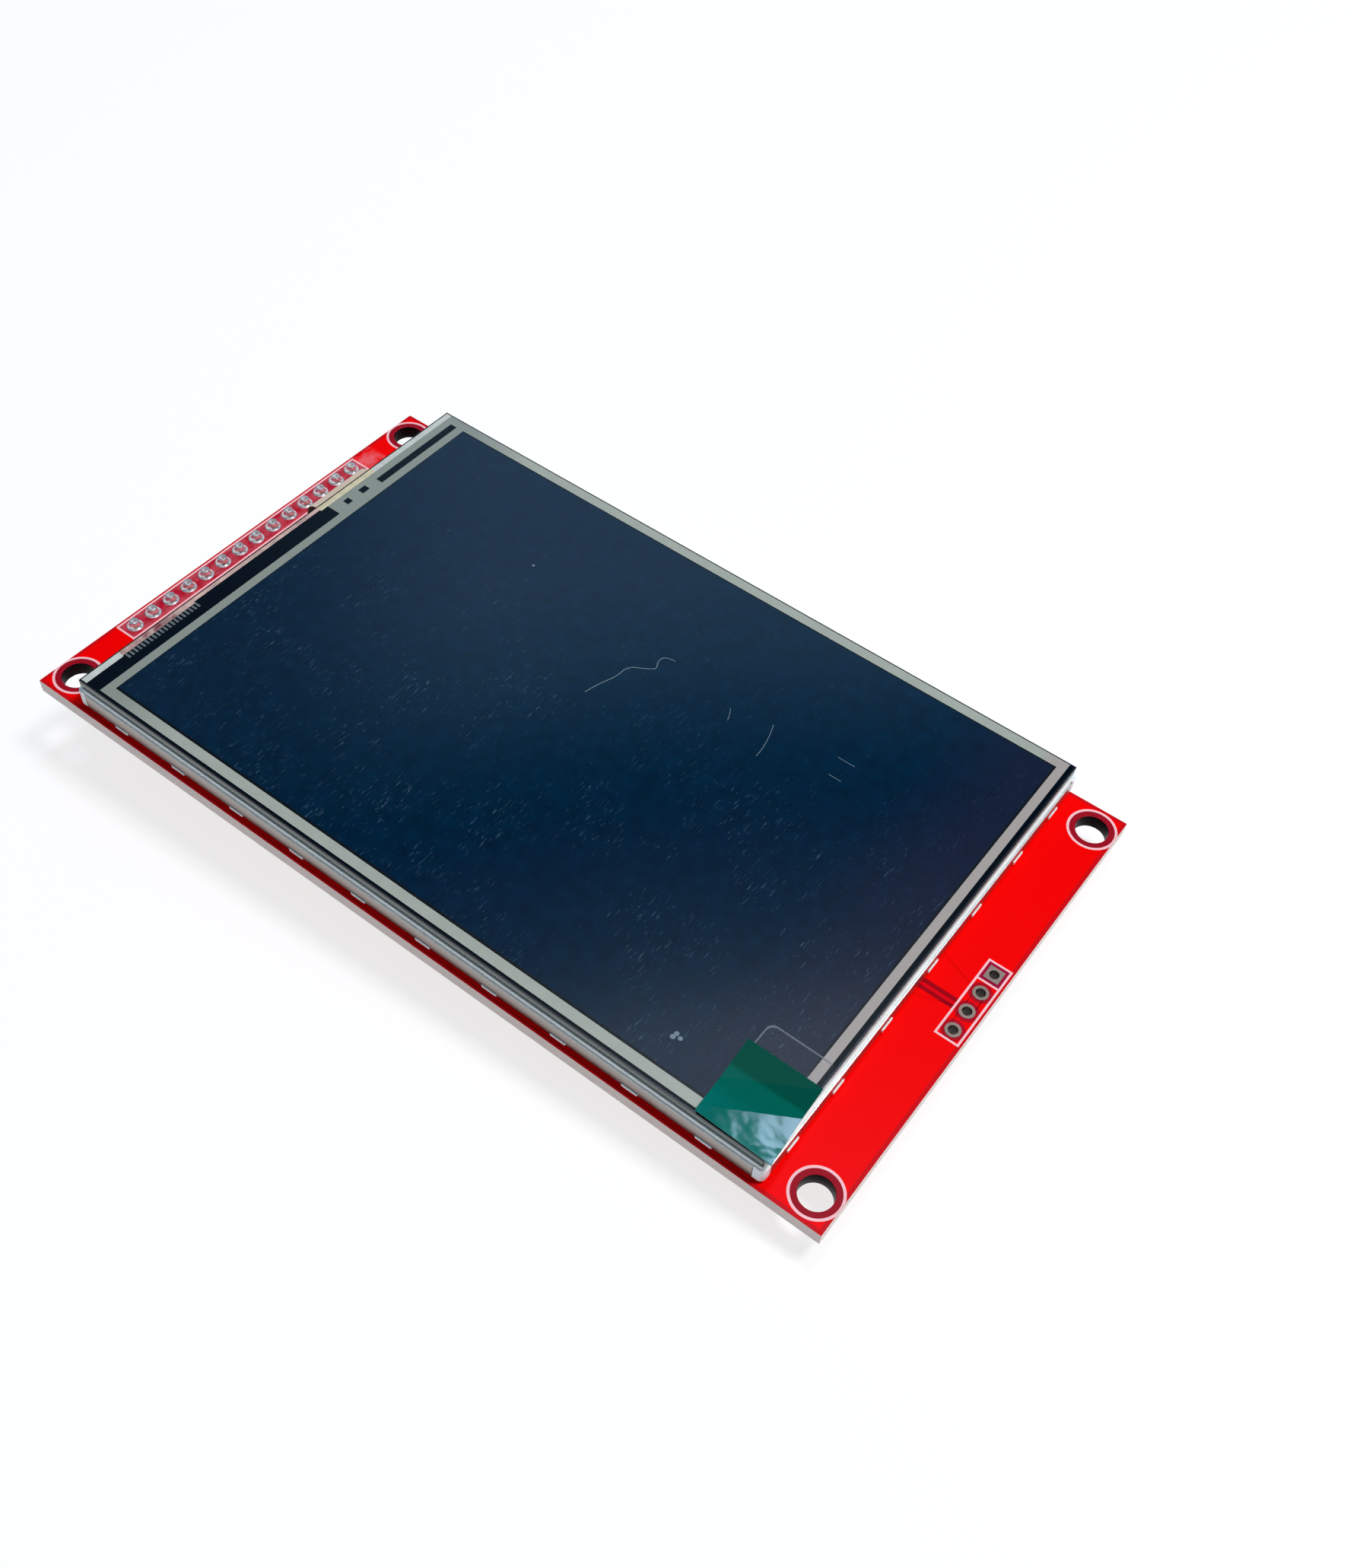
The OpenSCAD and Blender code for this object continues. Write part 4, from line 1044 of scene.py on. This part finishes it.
@dataclass(frozen=True)
class Backdrop:
    """Plain white floor that the module rests on, by its pins and the card socket."""

    radius_m: float = 2.5
    rest_far: tuple[float, float] = (47.44, -10.19)
    rest_near: tuple[float, float] = (-45.4, -4.5)
    drop_mm: float = 0.05
    white: str = "f7f7f7"
    glow: float = 0.78

    def build(self) -> None:
        """Builds the floor, tilted as the module lies on it."""
        (far_y, far_z), (near_y, near_z) = self.rest_far, self.rest_near
        tilt = math.atan2(far_z - near_z, far_y - near_y)
        middle = Vector((0, (far_y + near_y) / 2, (far_z + near_z) / 2 - self.drop_mm)) * MM
        mesh = bmesh.new()
        bmesh.ops.create_circle(
            mesh,
            cap_ends=True,
            segments=96,
            radius=self.radius_m,
            matrix=Matrix.Translation(middle) @ Matrix.Rotation(tilt, 4, "X"),
        )
        data = bpy.data.meshes.new("stage_floor")
        mesh.to_mesh(data)
        mesh.free()
        data.materials.append(self.material())
        floor = bpy.data.objects.new("stage_floor", data)
        bpy.context.scene.collection.objects.link(floor)
        log.info("stage_floor: tilt %.2f degrees", math.degrees(tilt))

    def material(self) -> bpy.types.Material:
        """Makes paper that shows white to the camera and in gloss, yet keeps the module's shadow.

        Returns:
            The floor's material.
        """
        made = bpy.data.materials.new("backdrop_paper")
        made.use_nodes = True
        tree = made.node_tree
        tree.nodes.clear()
        rays = add(tree, "ShaderNodeLightPath").outputs
        seen = add(
            tree, "ShaderNodeMath", {0: rays["Is Camera Ray"], 1: rays["Is Glossy Ray"]}, operation="MAXIMUM"
        ).outputs["Value"]
        seen = add(
            tree, "ShaderNodeMath", {0: seen, 1: rays["Is Transmission Ray"]}, operation="MAXIMUM"
        ).outputs["Value"]
        factor = add(tree, "ShaderNodeMath", {0: seen, 1: self.glow}, operation="MULTIPLY").outputs["Value"]
        paper = add(tree, "ShaderNodeBsdfDiffuse", {"Color": linear(self.white)}).outputs["BSDF"]
        light = add(tree, "ShaderNodeEmission", {"Color": (1, 1, 1, 1), "Strength": 1.0}).outputs["Emission"]
        mixed = add(tree, "ShaderNodeMixShader", {0: factor, 1: paper, 2: light}).outputs["Shader"]
        add(tree, "ShaderNodeOutputMaterial", {"Surface": mixed})
        return made


@dataclass(frozen=True)
class Lamp:
    """A soft rectangular lamp, aimed at the module."""

    name: str
    turn_deg: float
    lift_deg: float
    away_m: float
    size_m: tuple[float, float]
    power_w: float
    colour: str = "ffffff"

    def build(self) -> None:
        """Builds the lamp and links it to the scene."""
        light = bpy.data.lights.new(self.name, "AREA")
        light.shape = "RECTANGLE"
        light.size, light.size_y = self.size_m
        light.energy = self.power_w
        light.color = linear(self.colour)[:3]
        lamp = bpy.data.objects.new(self.name, light)
        turn, lift = math.radians(self.turn_deg), math.radians(self.lift_deg)
        way = Vector((math.cos(turn) * math.cos(lift), math.sin(turn) * math.cos(lift), math.sin(lift)))
        lamp.location = way * self.away_m
        lamp.rotation_euler = way.to_track_quat("Z", "Y").to_euler()
        bpy.context.scene.collection.objects.link(lamp)
        log.info("%s: %.1f W", self.name, self.power_w)


@dataclass(frozen=True)
class Studio:
    """The surroundings: a pale room with a dark belt half way up, a window below it on one side, and two lamps."""

    # height as the sine of the elevation, and the room's colour there
    belt: tuple[tuple[float, str], ...] = (
        (0.70, "9bbcda"),
        (0.718, "89aecb"),
        (0.735, "79a2bc"),
        (0.752, "597e9e"),
        (0.775, "195065"),
        (0.788, "273850"),
        (0.811, "555d6c"),
        (0.832, "6f7981"),
        (0.849, "9baab3"),
        (0.868, "dfedf9"),
        (0.90, "e8f0f8"),
        (0.94, "8a9096"),
    )
    # the low part is a window: full within the first angle of its bearing, faint beyond the second
    window_deg: float = 32.5
    window_full_deg: float = 8.5
    window_faint_deg: float = 23.0
    window_faint: float = 0.25
    window_top: tuple[float, float] = (0.76, 0.79)
    lean: float = 0.0012  # how far the belt leans, per degree of bearing
    # gloss and clear film see the floor's white below the second height, and the room above the first
    floor_white: tuple[float, float] = (0.52, 0.38)
    lamps: tuple[Lamp, ...] = (
        Lamp("key_lamp", -58, 67, 0.9, (0.2, 0.2), 6.6),
        Lamp("overhead_panel", 7.9, 72.4, 0.894, (0.072, 0.072), 1.6, "c4dcff"),
    )

    def build(self) -> None:
        """Builds the world and the lamps."""
        world = bpy.data.worlds.new("studio_room")
        bpy.context.scene.world = world
        world.use_nodes = True
        tree = world.node_tree
        tree.nodes.clear()
        way = add(tree, "ShaderNodeSeparateXYZ", {"Vector": add(tree, "ShaderNodeTexCoord").outputs["Generated"]})
        height = way.outputs["Z"]
        bearing = add(tree, "ShaderNodeMath", {0: way.outputs["Y"], 1: way.outputs["X"]}, operation="ARCTAN2")
        turned = add(
            tree,
            "ShaderNodeMath",
            {0: bearing.outputs["Value"], 1: math.radians(self.window_deg)},
            operation="SUBTRACT",
        ).outputs["Value"]
        level = add(
            tree,
            "ShaderNodeMath",
            {0: turned, 1: -self.lean / math.radians(1), 2: height},
            operation="MULTIPLY_ADD",
        ).outputs["Value"]
        belt = add(tree, "ShaderNodeValToRGB", {"Fac": level})
        set_stops(belt, [(place, linear(colour)) for place, colour in self.belt])
        aside = add(tree, "ShaderNodeMath", {0: turned}, operation="ABSOLUTE").outputs["Value"]
        window = add(
            tree,
            "ShaderNodeMapRange",
            {
                "Value": aside,
                "From Min": math.radians(self.window_faint_deg),
                "From Max": math.radians(self.window_full_deg),
                "To Min": self.window_faint,
            },
            interpolation_type="SMOOTHSTEP",
        ).outputs["Result"]
        start, end = self.window_top
        above = add(
            tree, "ShaderNodeMapRange", {"Value": level, "From Min": start, "From Max": end}
        ).outputs["Result"]
        window = add(tree, "ShaderNodeMath", {0: window, 1: above}, operation="MAXIMUM").outputs["Value"]
        start, end = self.floor_white
        low = add(
            tree, "ShaderNodeMapRange", {"Value": height, "From Min": start, "From Max": end}
        ).outputs["Result"]
        rays = add(tree, "ShaderNodeLightPath").outputs
        mirrored = add(
            tree,
            "ShaderNodeMath",
            {0: rays["Is Glossy Ray"], 1: rays["Is Transmission Ray"]},
            operation="MAXIMUM",
        ).outputs["Value"]
        mirrored = add(tree, "ShaderNodeMath", {0: mirrored, 1: low}, operation="MULTIPLY").outputs["Value"]
        white = add(
            tree, "ShaderNodeMath", {0: mirrored, 1: rays["Is Camera Ray"]}, operation="MAXIMUM"
        ).outputs["Value"]
        lit = add(tree, "ShaderNodeBackground", {"Color": belt.outputs["Color"], "Strength": window})
        plain = add(tree, "ShaderNodeBackground", {"Color": (1, 1, 1, 1), "Strength": 1.0})
        mixed = add(
            tree,
            "ShaderNodeMixShader",
            {0: white, 1: lit.outputs["Background"], 2: plain.outputs["Background"]},
        ).outputs["Shader"]
        add(tree, "ShaderNodeOutputWorld", {"Surface": mixed})
        for lamp in self.lamps:
            lamp.build()
        bpy.context.scene.view_settings.view_transform = "Standard"


@dataclass(frozen=True)
class Viewpoint:
    """The camera: from the near left, above, looking across the screen."""

    turn_deg: float = 32.38
    dip_deg: float = 51.29
    roll_deg: float = 5.59
    aim_mm: tuple[float, float, float] = (3.34, -10.76, 0.0)
    away_mm: float = 170.8
    lens_mm: float = 38.57

    def build(self) -> None:
        """Builds the camera and makes it the scene's own."""
        turn, dip, roll = (math.radians(a) for a in (self.turn_deg, self.dip_deg, self.roll_deg))
        ahead = Vector((math.cos(turn) * math.cos(dip), math.sin(turn) * math.cos(dip), -math.sin(dip)))
        level = Vector((math.sin(turn), -math.cos(turn), 0))
        upward = level.cross(ahead)
        right = math.cos(roll) * level + math.sin(roll) * upward
        top = -math.sin(roll) * level + math.cos(roll) * upward
        place = (Vector(self.aim_mm) - ahead * self.away_mm) * MM
        data = bpy.data.cameras.new("camera")
        data.lens = self.lens_mm
        data.sensor_width = 36.0
        data.clip_start = 0.01
        data.clip_end = 10.0
        camera = bpy.data.objects.new("camera", data)
        camera.matrix_world = Matrix.Translation(place) @ Matrix((right, top, -ahead)).transposed().to_4x4()
        bpy.context.scene.collection.objects.link(camera)
        bpy.context.scene.camera = camera
        log.info("camera at %s", tuple(round(c, 4) for c in place))


def main() -> None:
    """Builds the stage, the camera and the pieces in order."""
    logging.basicConfig(level=logging.INFO, format="%(name)s: %(message)s", stream=sys.stdout)
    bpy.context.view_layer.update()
    Viewpoint().build()
    Backdrop().build()
    Studio().build()
    CarriedNodes().dress()
    BoardPrint().build()
    DisplayFace().build()
    PanelBead().build()
    FilmMarks().build()


if __name__ == "__main__":
    main()
